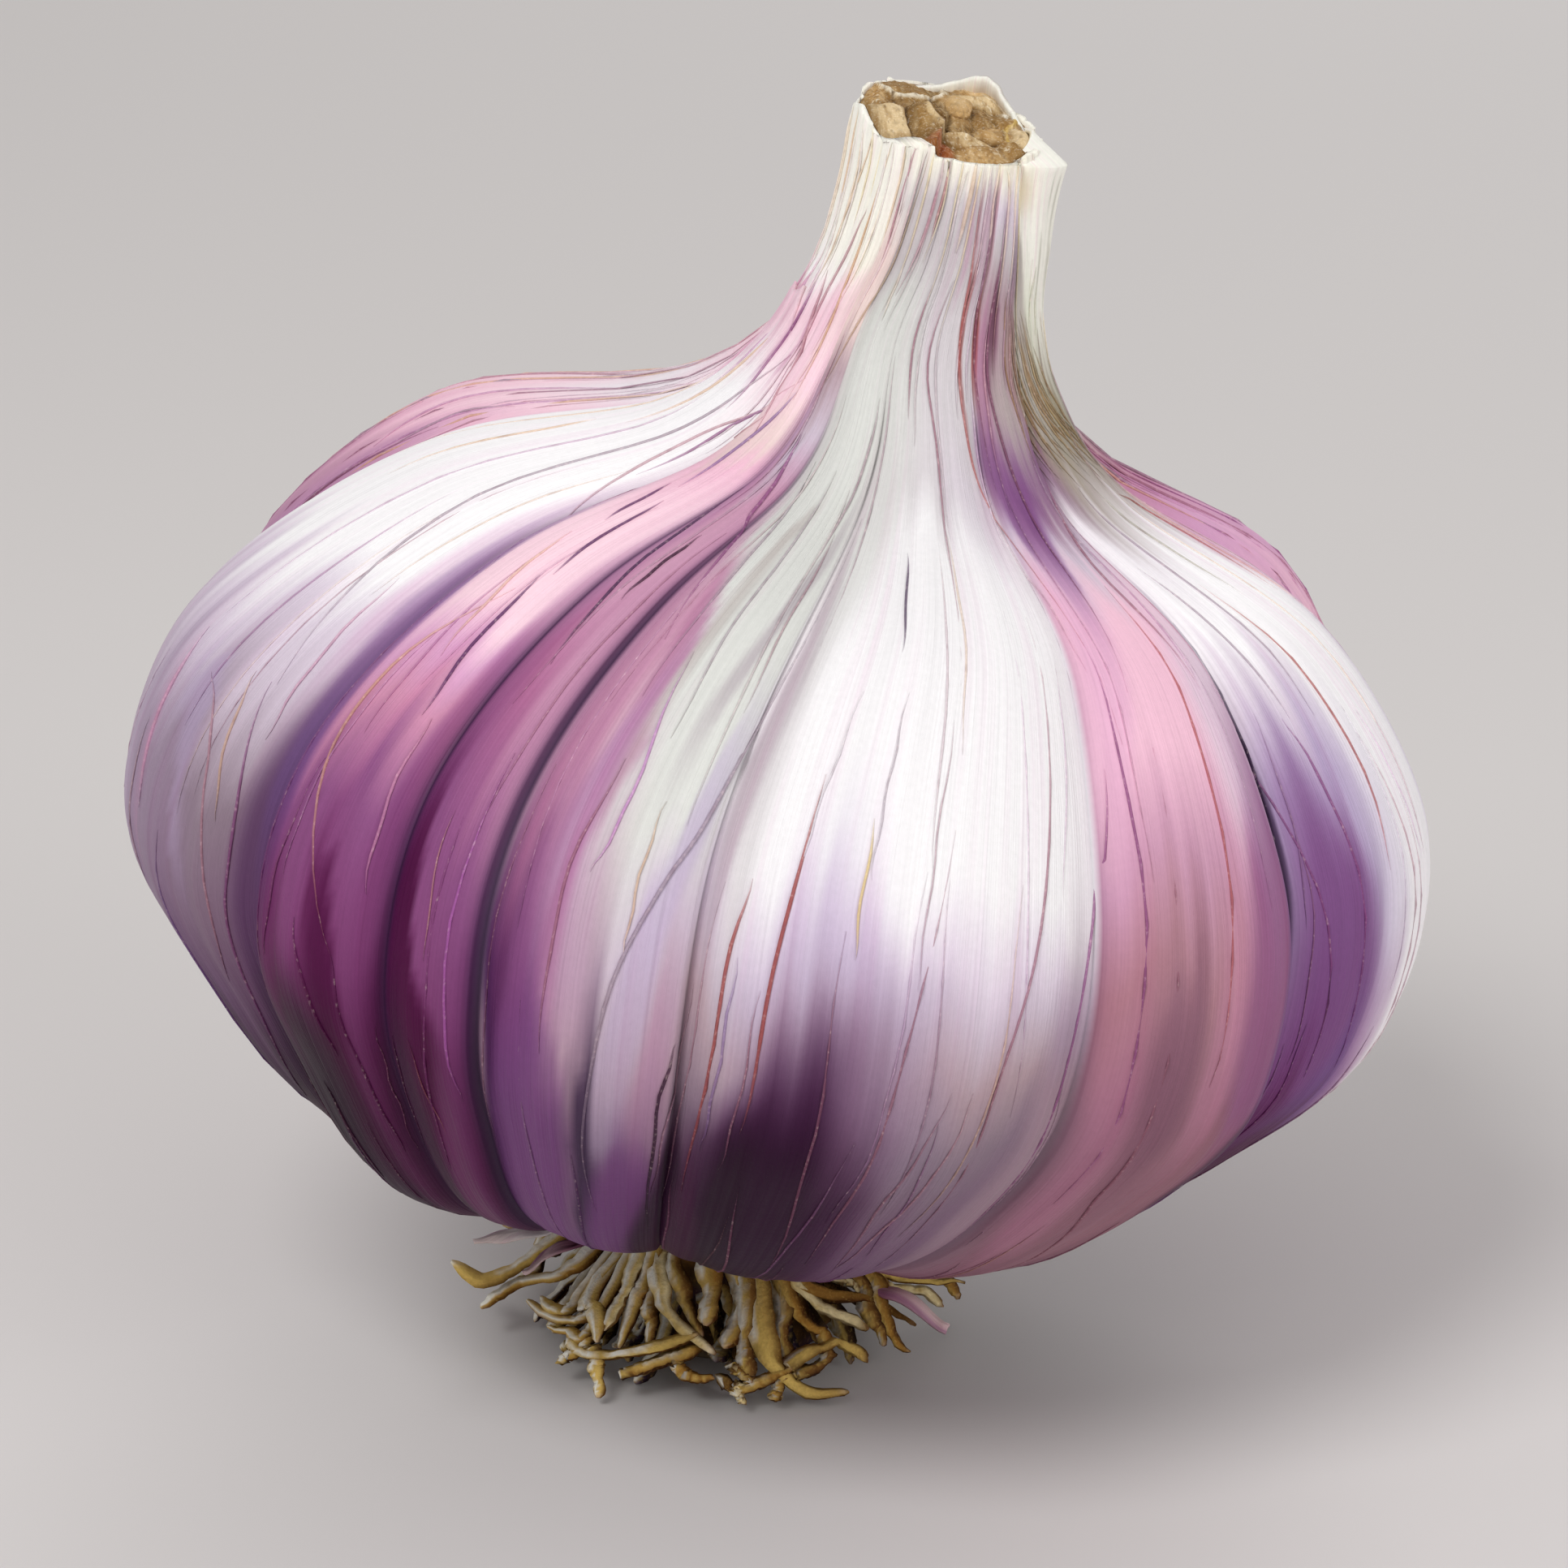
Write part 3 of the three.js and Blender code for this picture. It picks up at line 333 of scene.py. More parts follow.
# ---- veins in the skin ----
# paint, half width in millimetres, strength, and the vein's path up the skin: angle, along.
VEINS = (
    # the far left clove and the shoulder behind it
    ("smoke", 0.09, 0.6, ((-108, 0.47), (-109, 0.5), (-108, 0.52))),
    ("mauve", 0.09, 0.6, ((-110, 0.47), (-112, 0.51), (-111, 0.57))),
    ("rosewood", 0.08, 0.6, ((-118, 0.5), (-119, 0.54), (-116, 0.6))),
    ("tan", 0.09, 0.6, ((-83, 0.49), (-83, 0.54), (-85, 0.56))),
    ("smoke", 0.1, 0.7, ((-58, 0.42), (-62, 0.47), (-65, 0.55), (-63, 0.62), (-55, 0.67))),
    ("plum", 0.12, 0.75, ((-58, 0.2), (-55, 0.3), (-55, 0.37), (-59, 0.42))),
    ("tan", 0.1, 0.6, ((-57, 0.36), (-62, 0.42))),
    ("clay", 0.1, 0.65, ((-59, 0.27), (-57, 0.32), (-62, 0.39), (-67, 0.41))),
    ("rose", 0.14, 0.6, ((-70, 0.34), (-74, 0.42))),
    ("rose", 0.09, 0.6, ((-55, 0.4), (-57, 0.47))),
    ("violet", 0.09, 0.5, ((-64, 0.12), (-66, 0.25), (-65, 0.34))),
    ("rosewood", 0.08, 0.5, ((-78, 0.1), (-81, 0.28), (-79, 0.4))),
    # the purple clove left of the front
    ("tan", 0.11, 0.65, ((-37, 0.34), (-43, 0.41), (-44, 0.45), (-40, 0.49))),
    ("clay", 0.1, 0.6, ((-46, 0.49), (-54, 0.54), (-59, 0.58), (-54, 0.61), (-38, 0.66))),
    ("indigo", 0.1, 0.85, ((-37, 0.44), (-39, 0.5))),
    ("indigo", 0.1, 0.85, ((-38, 0.5), (-40, 0.55))),
    ("indigo", 0.09, 0.8, ((-42, 0.53), (-44, 0.56))),
    ("rose", 0.1, 0.7, ((-35, 0.37), (-36, 0.44))),
    ("wine", 0.1, 0.7, ((-35, 0.22), (-37, 0.34))),
    ("wine", 0.09, 0.6, ((-38, 0.28), (-41, 0.35))),
    ("plum", 0.1, 0.7, ((-54, 0.55), (-55, 0.6), (-46, 0.64))),
    ("violet", 0.1, 0.7, ((-42, 0.56), (-42, 0.6), (-38, 0.65))),
    ("rosewood", 0.09, 0.6, ((-48, 0.53), (-50, 0.58), (-44, 0.62))),
    ("tan", 0.09, 0.5, ((-40, 0.46), (-43, 0.52))),
    # the narrow wine clove and its neighbour
    ("magenta", 0.1, 0.6, ((-25, 0.28), (-26, 0.34), (-26, 0.44))),
    ("ink", 0.1, 0.8, ((-29, 0.47), (-31, 0.52), (-33, 0.57))),
    ("near_black", 0.1, 0.8, ((-28, 0.5), (-28, 0.54))),
    ("plum", 0.1, 0.6, ((-29, 0.22), (-28, 0.34), (-28, 0.42))),
    ("plum", 0.12, 0.75, ((-20, 0.49), (-26, 0.57), (-30, 0.62))),
    ("rosewood", 0.1, 0.7, ((-17, 0.33), (-17, 0.4), (-16, 0.45))),
    ("magenta", 0.1, 0.6, ((-15, 0.41), (-14, 0.44), (-16, 0.49))),
    ("smoke", 0.12, 0.7, ((-12, 0.22), (-13, 0.28), (-12, 0.36), (-9, 0.41), (-7, 0.44), (-5, 0.5),
                          (-5, 0.57))),
    # painted shade: a near-black line low in the crease at -6
    ("near_black", 0.11, 0.85, ((-7, 0.2), (-7, 0.31), (-6, 0.35))),
    ("tan", 0.08, 0.6, ((-11, 0.38), (-11, 0.44))),
    ("indigo", 0.1, 0.7, ((-15, 0.12), (-14, 0.2), (-14, 0.27))),
    ("smoke", 0.08, 0.55, ((-18, 0.47), (-19, 0.54), (-22, 0.6))),
    ("smoke", 0.08, 0.5, ((-13, 0.46), (-14, 0.52), (-15, 0.6))),
    # the wide front clove
    ("russet", 0.12, 0.9, ((-4, 0.25), (-3, 0.37), (-2, 0.42))),
    ("violet", 0.1, 0.5, ((-3, 0.29), (-2, 0.39))),
    ("russet", 0.13, 0.95, ((0, 0.31), (1, 0.39), (2, 0.46))),
    ("rosewood", 0.07, 0.7, ((-1, 0.28), (0, 0.38))),
    ("rosewood", 0.09, 0.7, ((8, 0.18), (6, 0.3), (6, 0.41))),
    ("straw", 0.09, 0.7, ((7, 0.4), (7, 0.45))),
    ("rosewood", 0.09, 0.75, ((11, 0.2), (11, 0.32), (14, 0.45))),
    ("rosewood", 0.09, 0.75, ((20, 0.2), (20, 0.35), (23, 0.43), (24, 0.53))),
    ("rosewood", 0.08, 0.6, ((15, 0.19), (14, 0.28), (16, 0.35))),
    ("clay", 0.08, 0.6, ((15, 0.2), (18, 0.35))),
    ("plum", 0.1, 0.75, ((29, 0.18), (27, 0.34), (29, 0.43), (30, 0.47))),
    ("ink", 0.08, 0.75, ((6, 0.51), (5, 0.56))),
    ("claret", 0.1, 0.8, ((-6, 0.09), (-5, 0.18), (-5, 0.26))),
    ("rosewood", 0.09, 0.7, ((3, 0.08), (3, 0.17), (1, 0.27))),
    ("claret", 0.09, 0.7, ((12, 0.06), (10, 0.13), (9, 0.2))),
    ("plum", 0.09, 0.6, ((22, 0.07), (18, 0.13), (17, 0.2))),
    # the pink clove right of the front
    ("plum", 0.1, 0.8, ((32, 0.27), (32, 0.42), (31, 0.52))),
    ("rosewood", 0.1, 0.75, ((41, 0.16), (36, 0.26), (35, 0.31), (35, 0.48))),
    ("russet", 0.09, 0.7, ((40, 0.35), (41, 0.47), (41, 0.55))),
    ("rosewood", 0.1, 0.7, ((45, 0.5), (43, 0.56), (49, 0.61))),
    ("claret", 0.09, 0.6, ((36, 0.06), (33, 0.14), (31, 0.2))),
    ("claret", 0.09, 0.6, ((47, 0.08), (44, 0.16), (43, 0.24))),
    # the violet clove on the right
    ("ink", 0.12, 0.85, ((52, 0.26), (52.4, 0.4), (53, 0.52))),
    ("plum", 0.09, 0.7, ((58, 0.33), (56, 0.42), (48, 0.5))),
    ("plum", 0.1, 0.75, ((63, 0.33), (61, 0.44), (59, 0.48))),
    ("russet", 0.09, 0.75, ((67, 0.42), (67, 0.48), (65, 0.54))),
    ("russet", 0.09, 0.7, ((85, 0.52), (86, 0.57), (78, 0.59))),
    ("olive", 0.09, 0.7, ((72, 0.53), (68, 0.6))),
    ("smoke", 0.09, 0.7, ((64, 0.48), (62, 0.6))),
    ("smoke", 0.09, 0.65, ((60, 0.48), (57, 0.55))),
    ("rosewood", 0.08, 0.5, ((72, 0.26), (72, 0.4), (70, 0.47))),
    # the neck
    ("rosewood", 0.07, 0.75, ((3, 0.65), (1, 0.78))),
    ("rosewood", 0.07, 0.75, ((13, 0.5), (12, 0.62), (9, 0.7), (10, 0.79))),
    ("russet", 0.08, 0.7, ((32, 0.48), (29, 0.57), (24, 0.62), (21, 0.72), (19, 0.79), (17, 0.84),
                           (15, 0.95))),
    ("claret", 0.09, 0.75, ((30, 0.6), (29, 0.7), (27, 0.78), (27, 0.84), (29, 0.93))),
    ("claret", 0.09, 0.8, ((34, 0.5), (36, 0.59), (34, 0.7), (35, 0.79), (37, 0.9))),
    ("umber", 0.06, 0.6, ((46, 0.62), (43, 0.7), (42, 0.78))),
    ("umber", 0.055, 0.6, ((79, 0.59), (66, 0.65), (57, 0.7), (53, 0.75))),
    ("umber", 0.055, 0.6, ((70, 0.61), (60, 0.67), (55, 0.73))),
    ("walnut", 0.08, 0.6, ((63, 0.6), (54, 0.66), (49, 0.73))),
    ("walnut", 0.07, 0.6, ((88, 0.6), (74, 0.66), (64, 0.72))),
    ("olive", 0.07, 0.6, ((56, 0.61), (49, 0.66), (46, 0.73))),
    ("tan", 0.07, 0.5, ((-66, 0.73), (-62, 0.85), (-55, 0.99))),
    ("tan", 0.08, 0.8, ((-38, 0.64), (-40, 0.72), (-44, 0.82), (-41, 0.99))),
    ("clay", 0.07, 0.8, ((-28, 0.76), (-30, 0.88), (-27, 1))),
    ("umber", 0.055, 0.45, ((-32, 0.64), (-27, 0.7), (-23.5, 0.77), (-22.5, 0.86), (-20, 0.97))),
    ("clay", 0.09, 0.6, ((-14, 0.76), (-12, 0.83), (-11.5, 0.89), (-10, 0.94))),
    ("russet", 0.08, 0.5, ((-8, 0.83), (-7, 0.96))),
    ("tan", 0.14, 0.5, ((7, 0.82), (9, 0.97))),
    ("olive", 0.1, 0.6, ((61, 0.74), (81, 0.95))),
    ("olive", 0.09, 0.6, ((66, 0.73), (81, 0.94))),
    ("rose", 0.11, 0.8, ((-110, 0.58), (-94, 0.67), (-79, 0.77))),
    ("mauve", 0.09, 0.7, ((-78, 0.62), (-77, 0.76))),
    ("plum", 0.09, 0.7, ((-61, 0.61), (-65, 0.75))),
    ("clay", 0.11, 0.75, ((-41, 0.6), (-53, 0.69), (-61, 0.76))),
    ("tan", 0.1, 0.6, ((-78, 0.57), (-71, 0.71))),
    ("rose", 0.11, 0.7, ((-88, 0.6), (-84, 0.68), (-72, 0.78))),
    ("clay", 0.09, 0.7, ((-52, 0.66), (-54, 0.76), (-50, 0.85))),
    ("tan", 0.08, 0.6, ((-76, 0.8), (-72, 0.99))),
    ("tan", 0.08, 0.5, ((-33, 0.8), (-34, 0.99))),
)
# the fine brown hatching at the right of the neck's foot
VEINS += tuple(
    (("umber", "walnut", "olive", "hazel")[k % 4], 0.05 + 0.01 * (k % 3), 0.55,
     ((55 + 2.6 * k, 0.6 + 0.006 * (k % 5)), (49 + 1.5 * k, 0.66), (46 + 0.9 * k, 0.735 + 0.008 * (k % 4))))
    for k in range(15))

# How thick and how strong these veins are made, of what the table says.
DRAWN_GIRTH, DRAWN_STRENGTH = 0.72, 0.85
# The veins between them: how many are strewn all over, and one to how many degrees up the neck.
STREWN_VEINS, NECK_VEIN_STEP = 430, 6
STREWN_PAINTS = ("rosewood", "plum", "rosewood", "claret", "tan", "smoke", "mauve")
NECK_VEIN_PAINTS = ("tan", "clay", "fawn", "straw")

# ---- roots ----
# half thickness in millimetres, paint, and the path: degrees round the root end, how far out, height.
ROOTS = (
    (0.42, "straw", ((-76, 7.9, 4.8), (-76, 8.8, 4.0), (-76, 10.0, 3.2), (-77, 11.2, 3.0),
                     (-80, 12.4, 3.8))),
    (0.4, "gold", ((-58, 6.9, 4.9), (-63, 8.0, 3.9), (-74, 9.0, 2.9), (-75, 10.0, 2.3),
                   (-75, 11.1, 1.6))),
    (0.34, "umber", ((-43, 8.0, 3.9), (-41, 8.7, 3.1), (-49, 9.2, 2.6), (-68, 9.3, 2.5))),
    (0.3, "straw", ((-48, 7.6, 4.2), (-49, 8.5, 3.3), (-54, 8.8, 3.0), (-64, 8.7, 3.1))),
    (0.32, "gold", ((-37, 8.3, 3.6), (-38, 9.4, 2.4), (-44, 9.5, 2.3), (-52, 9.7, 2.1))),
    (0.36, "straw", ((-43, 6.5, 5.3), (-44, 8.2, 3.7), (-38, 8.8, 3.1), (-33, 9.7, 2.1))),
    (0.32, "cream", ((-32, 6.4, 5.4), (-32, 7.4, 4.4), (-33, 8.2, 3.6), (-35, 9.2, 2.6))),
    (0.36, "gold", ((-25, 6.2, 5.6), (-25, 7.2, 4.6), (-26, 8.2, 3.6), (-26, 9.5, 2.4))),
    (0.36, "cream", ((-21, 6.1, 5.7), (-16, 7.0, 4.9), (-12, 7.9, 4.0), (-6, 8.7, 3.2), (3, 9.6, 2.2))),
    (0.3, "umber", ((-15, 6.2, 5.6), (-10, 7.2, 4.6), (-6, 8.0, 3.8), (-2, 8.8, 3.0))),
    (0.45, "gold", ((0, 6.3, 5.5), (0, 7.4, 4.4), (-1, 8.4, 3.4))),
    (0.34, "straw", ((-42, 9.8, 2.0), (-33, 10.0, 1.8), (-23, 9.7, 2.1), (-14, 9.3, 2.6),
                     (-6, 8.8, 3.1))),
    (0.36, "gold", ((-23, 10.4, 1.4), (-18, 9.9, 1.8), (-10, 9.6, 2.2), (-2, 9.2, 2.7))),
    (0.3, "gold", ((-41, 10.4, 1.3), (-38, 10.1, 1.7), (-35, 9.5, 2.3))),
    (0.28, "straw", ((-34, 9.6, 2.2), (-30, 10.2, 1.6), (-26, 10.9, 0.8))),
    (0.3, "umber", ((-22, 7.5, 4.3), (-19, 8.3, 3.5), (-17, 9.1, 2.7))),
    (0.3, "gold", ((-9, 9.8, 2.0), (-4, 10.3, 1.5), (3, 10.3, 1.5))),
    (0.42, "gold", ((12, 6.5, 5.3), (11, 7.6, 4.2), (7, 8.6, 3.2), (4, 9.1, 2.7))),
    (0.4, "umber", ((15, 7.1, 4.7), (12, 8.6, 3.2), (11, 9.5, 2.3), (11, 10.3, 1.4))),
    (0.45, "straw", ((20, 6.9, 4.9), (17, 8.6, 3.2), (18, 9.9, 1.9), (24, 10.9, 0.9), (34, 11.3, 0.6))),
    (0.34, "umber", ((28, 7.3, 4.5), (23, 8.9, 2.9), (23, 9.9, 1.9))),
    (0.34, "gold", ((29, 7.3, 4.5), (31, 8.6, 3.2), (35, 9.2, 2.6), (34, 10.0, 1.8))),
    (0.36, "cream", ((34, 7.3, 4.5), (37, 8.2, 3.6), (44, 9.0, 2.9), (49, 9.7, 2.1))),
    (0.34, "gold", ((36, 7.3, 4.5), (46, 8.1, 3.8), (60, 8.9, 3.0), (68, 10.2, 1.6))),
    (0.28, "cream", ((53, 7.3, 4.4), (58, 7.9, 3.9), (59, 8.4, 3.4))),
    (0.34, "umber", ((62, 8.2, 3.6), (55, 9.0, 2.8), (53, 9.7, 2.1), (50, 10.5, 1.3))),
    (0.34, "gold", ((66, 8.3, 3.5), (60, 9.2, 2.6), (58, 10.3, 1.5), (60, 11.2, 0.6))),
    (0.3, "straw", ((71, 8.1, 3.7), (74, 9.0, 3.2), (76, 10.8, 2.8), (78, 12.4, 2.7))),
    (0.32, "cream", ((70, 8.3, 3.5), (73, 9.2, 2.7), (75, 10.6, 2.3), (75, 11.5, 1.6))),
    (0.34, "straw", ((21, 10.1, 1.7), (31, 9.7, 2.2), (41, 9.8, 2.0), (45, 10.7, 1.2))),
    (0.3, "umber", ((22, 10.4, 1.4), (31, 10.2, 1.6), (37, 10.0, 1.8))),
    (0.32, "gold", ((3, 10.4, 1.4), (9, 10.7, 1.1), (16, 10.4, 1.4), (21, 10.2, 1.6))),
    (0.26, "cream", ((7, 10.5, 1.3), (8, 11.1, 0.6))),
    (0.3, "gold", ((20, 10.3, 1.5), (17, 10.8, 1.0), (15, 11.2, 0.6))),
    (0.28, "umber", ((7, 9.7, 2.1), (9, 10.5, 1.3))),
    (0.3, "straw", ((75, 8.8, 3.8), (76, 9.8, 3.6), (78, 11.0, 3.6))),
)
# Where a root that starts high leaves the plate: how far out and how high.
STEM, STEM_ABOVE = (5.3, 6.3), 3.4
# How many roots are strewn round the back, from which angle and over how many degrees, and how many lie
# hidden below the rest, painted dark as shade under the bulb.
BACK_ROOTS, BACK_ROOTS_FROM, BACK_ROOTS_SPAN = 30, 104, 146
HIDDEN_ROOTS = 46
ROOT_STEPS, ROOT_GIRTH = 26, 1.12
TIP_TAPER = (0.95, 0.85, 0.7, 0.5, 0.22)
# The way that the roots' painted light comes from, and how much darker their painted shade is on the sides
# that face away.
PAINTED_LIGHT_FROM = (-0.8, -0.22, 0.55)
ROOT_PAINTED_SHADE = (0.2, 0.12, 0.06)

# ---- the cut mouth of the neck ----
# x to the right and y to the back, in millimetres from its middle.
MOUTH_RADIUS, RIM_RADIUS = 4.0, 3.9
MOUTH_RINGS, MOUTH_SPOKES = 84, 260
STALK_X, STALK_Y, STALK_LENGTH = 0.4, 0.9, 2.2
# Lumps: paint, x, y, half width, half length, turn in degrees, how high.
MOUTH_LUMPS = (
    ("walnut", 0.0, 0.0, 5.0, 5.0, 0, -0.1),
    ("hazel", -2.0, 2.2, 1.9, 1.3, 14, 0.16),
    ("walnut", -0.7, 3.0, 0.6, 0.75, 0, -0.1),
    ("biscuit", -3.3, 0.8, 0.55, 1.3, 4, 0.2),
    ("buff", -2.75, -1.9, 0.95, 1.9, 26, 0.24),
    ("hazel", -1.55, -0.5, 0.75, 2.4, 12, 0.14),
    ("walnut", -1.85, -1.2, 0.3, 1.6, 14, -0.05),
    ("biscuit", 0.15, 0.9, 0.95, 2.6, 2, 0.3),
    ("walnut", -0.45, 0.4, 0.4, 1.9, 4, 0.0),
    ("hazel", 1.4, 0.9, 0.8, 1.7, 0, 0.22),
    ("buff", 1.2, 2.9, 1.3, 1.1, -24, 0.42),
    ("biscuit", 0.7, 3.2, 0.9, 0.5, -10, 0.2),
    ("hazel", 2.6, 0.9, 1.0, 1.1, -8, 0.3),
    ("walnut", 2.7, 1.5, 0.9, 0.35, -14, 0.1),
    ("biscuit", 2.1, -0.8, 1.2, 0.8, 10, 0.22),
    ("buff", 3.3, -0.6, 0.5, 1.3, 4, 0.3),
    ("biscuit", 1.7, -2.8, 1.7, 0.7, 8, 0.26),
    ("hazel", 2.8, -2.1, 0.6, 0.7, 0, 0.28),
    ("buff", 0.7, -2.15, 1.2, 0.36, -6, 0.2),
    ("rust", -0.2, -3.5, 0.8, 1.2, 10, 0.2),
    ("buff", 1.7, -3.6, 0.9, 0.25, 8, 0.05),
)
# Torn edges that stand up between them: paint, height, half width, and the path.
MOUTH_EDGES = (
    ("buff", 0.16, 0.2, ((-0.95, 0.6), (-1.0, -1.0), (-0.5, -1.8), (0.5, -2.0), (1.3, -1.8),
                         (2.1, -2.0))),
    ("cream", 0.16, 0.13, ((-3.2, 1.9), (-2.2, 1.2), (-1.5, 1.5), (-0.6, 2.0), (-0.1, 2.8), (-0.3, 3.7))),
    ("cream", 0.2, 0.26, ((0.5, 3.7), (1.6, 3.6), (2.4, 3.0), (2.8, 2.3), (2.5, 1.8))),
    ("straw", 0.12, 0.1, ((3.1, 1.7), (3.1, 0.6), (2.6, -0.6), (2.9, -1.4))),
    ("bark", -0.16, 0.08, ((-0.7, 2.0), (-0.85, 0.6), (-0.7, -0.8), (0.0, -1.6))),
    ("bark", -0.16, 0.07, ((-2.5, 1.4), (-2.2, -0.4), (-1.9, -2.0), (-1.3, -3.4))),
    ("bark", -0.16, 0.07, ((1.0, 1.5), (1.8, 1.9), (3.0, 2.0))),
    ("walnut", -0.1, 0.07, ((1.0, -0.2), (1.2, -1.0), (1.8, -0.2))),
    ("bark", -0.1, 0.06, ((0.9, -1.4), (1.9, -1.7), (3.0, -1.4))),
    ("walnut", -0.1, 0.06, ((2.1, 0.6), (2.5, -0.2), (2.6, -1.2))),
)
MOUTH_PLANE, SKIRT_FOOT = 52.42, 50.4


# ---- small tools ----
def smooth(value, low, high):
    """0 below low, 1 above high, and an S between them."""
    t = np.clip((np.asarray(value, float) - low) / (high - low), 0, 1)
    return t * t * (3 - 2 * t)


def window(value, low, high, fade):
    """1 between low and high, fading to 0 outside them."""
    return smooth(value, low - fade, low + fade) * (1 - smooth(value, high - fade, high + fade))


def hump(value, middle, reach):
    """1 at the middle, falling away on both sides."""
    return np.exp(-((np.asarray(value, float) - middle) / reach) ** 2)


def mix(a, b, part):
    """From a at 0 to b at 1."""
    return a + (b - a) * part


def turned(degrees, at):
    """The angle from one place round the bulb to another, from -180 to 180."""
    return (np.asarray(degrees, float) - at + 180) % 360 - 180


def soft_noise(u, v, cells_u, cells_v, seed):
    """Smooth noise from -1 to 1 that meets itself where u goes from 1 back to 0."""
    grid = np.random.default_rng(seed).uniform(-1, 1, (cells_u, cells_v + 2))
    x, y = (u % 1) * cells_u, np.clip(v, 0, 1) * cells_v
    i, j = np.floor(x).astype(int) % cells_u, np.floor(y).astype(int)
    fx, fy = smooth(x - np.floor(x), 0, 1), smooth(y - j, 0, 1)
    near = mix(grid[i, j], grid[i, j + 1], fy)
    far = mix(grid[(i + 1) % cells_u, j], grid[(i + 1) % cells_u, j + 1], fy)
    return mix(near, far, fx)


def plane_noise(x, y, cell, seed):
    """Smooth noise from -1 to 1 over a small flat field, with cells of one size."""
    return soft_noise(np.asarray(x) / (64 * cell) + 0.5, np.asarray(y) / (64 * cell) + 0.5, 64, 64, seed)


def mesh_piece(name, points, faces):
    """A mesh object whose points, given in millimetres, are put in its mesh in metres."""
    mesh = bpy.data.meshes.new(name)
    mesh.from_pydata((np.asarray(points) * MM).tolist(), [], faces)
    mesh.validate()
    mesh.shade_smooth()
    piece = bpy.data.objects.new(name, mesh)
    bpy.context.scene.collection.objects.link(piece)
    return piece


def add_attribute(piece, name, kind, values):
    """One value for each point: kind is FLOAT, FLOAT_VECTOR or FLOAT_COLOR."""
    field = {"FLOAT": "value", "FLOAT_VECTOR": "vector", "FLOAT_COLOR": "color"}[kind]
    values = np.asarray(values, np.float32)
    if kind == "FLOAT_COLOR":
        values = np.concatenate([linear(values), np.ones((len(values), 1))], axis=1).astype(np.float32)
    layer = piece.data.attributes.new(name, kind, "POINT")
    layer.data.foreach_set(field, values.ravel())


def finish_piece(piece, replaced, material):
    """Gives a piece its material, hangs it on the root body and hides the solids that it stands for."""
    piece.data.materials.clear()
    piece.data.materials.append(material)
    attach(piece, "root")
    if replaced:
        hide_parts(*replaced)


def grid_faces(rows, columns, first=0, flip=False, around_too=False):
    """The faces of a grid of points, numbered row by row."""
    wide = columns if around_too else columns - 1
    i, j = np.meshgrid(np.arange(rows - 1), np.arange(wide), indexing="ij")
    a, b = (first + i * columns + j).ravel(), (first + i * columns + (j + 1) % columns).ravel()
    corners = (a, a + columns, b + columns, b) if flip else (a, b, b + columns, a + columns)
    return np.stack(corners, -1).tolist()


def ringed_piece(name, rings, tones, flip=False):
    """A closed piece from rings of points, with a point to close each end and a colour for each."""
    count, last_ring = rings.shape[1], (len(rings) - 1) * rings.shape[1]
    verts = np.concatenate([rings.reshape(-1, 3), [rings[0].mean(0), rings[-1].mean(0)]])
    first_end, last_end = len(verts) - 2, len(verts) - 1
    faces = grid_faces(len(rings), count, flip=flip, around_too=True)
    for end, ring, turned_over in ((first_end, 0, flip), (last_end, last_ring, not flip)):
        for j in range(count):
            here, after = ring + j, ring + (j + 1) % count
            faces.append((end, here, after) if turned_over else (end, after, here))
    piece = mesh_piece(name, verts, faces)
    tones = tones.reshape(-1, 3)
    add_attribute(piece, "paint", "FLOAT_COLOR", np.concatenate([tones, tones[:1], tones[-1:]]))
    return piece


# ---- the bulb's shape ----
def spline(points, t):
    """A smooth line through points, evenly numbered from 0 to 1."""
    points = np.asarray(points, float)
    last = len(points) - 1
    place = np.clip(np.asarray(t, float), 0, 1) * last
    i = np.clip(np.floor(place).astype(int), 0, last - 1)
    w = (place - i)[..., None]
    p1, p2 = points[i], points[i + 1]
    p0, p3 = points[np.maximum(i - 1, 0)], points[np.minimum(i + 2, last)]
    v0, v1 = (p2 - p0) / 2, (p3 - p1) / 2
    return (2 * p1 - 2 * p2 + v0 + v1) * w ** 3 + (3 * p2 - 3 * p1 - 2 * v0 - v1) * w ** 2 + v0 * w + p1


def lean(points):
    """From the bulb's own axes to the part's."""
    x, y, height = points[..., 0], points[..., 1], points[..., 2]
    sine, cosine = math.sin(LEAN), math.cos(LEAN)
    return np.stack([x * cosine + height * sine, y, height * cosine - x * sine], -1) + ROOT_END


def around(degrees, radius, height, centre_x=0.0):
    """The point at an angle round an upright line, at its radius and its height."""
    angle = np.radians(degrees)
    x, y = centre_x + radius * np.sin(angle), -radius * np.cos(angle)
    return np.stack(np.broadcast_arrays(x, y, height), -1)


def neck_shift(height):
    """How far to the right the neck's middle lies at a height."""
    bend = NECK_BEND * smooth(height, NECK_BEND_FROM, NECK_BEND_TO)
    return bend + MOUTH_BEND * smooth(height, MOUTH_BEND_FROM, MOUTH_BEND_TO)


def wander(degrees, along):
    """How many degrees the skin's lines have turned round the bulb at a place."""
    front = np.maximum(0, np.cos(np.radians(degrees - MOST_TURNED))) ** 2
    low_right = LOW_TURN * hump(turned(degrees, LOW_TURN_AT), 0, LOW_TURN_REACH)
    low_right = low_right * (1 - smooth(along, LOW_TURN_FROM, LOW_TURN_TO))
    at_neck = NECK_TURN * smooth(along, NECK_TURN_FROM, NECK_TURN_TO)
    at_belly = BELLY_TURN * hump(along, BELLY_TURN_AT, BELLY_TURN_REACH)
    at_foot = FOOT_TURN * hump(along, FOOT_TURN_AT, FOOT_TURN_REACH)
    return front * (at_neck + at_belly + at_foot) + low_right


CREASES_AT = np.array([clove["at"] for clove in CLOVES] + [CLOVES[0]["at"] + 360], float)


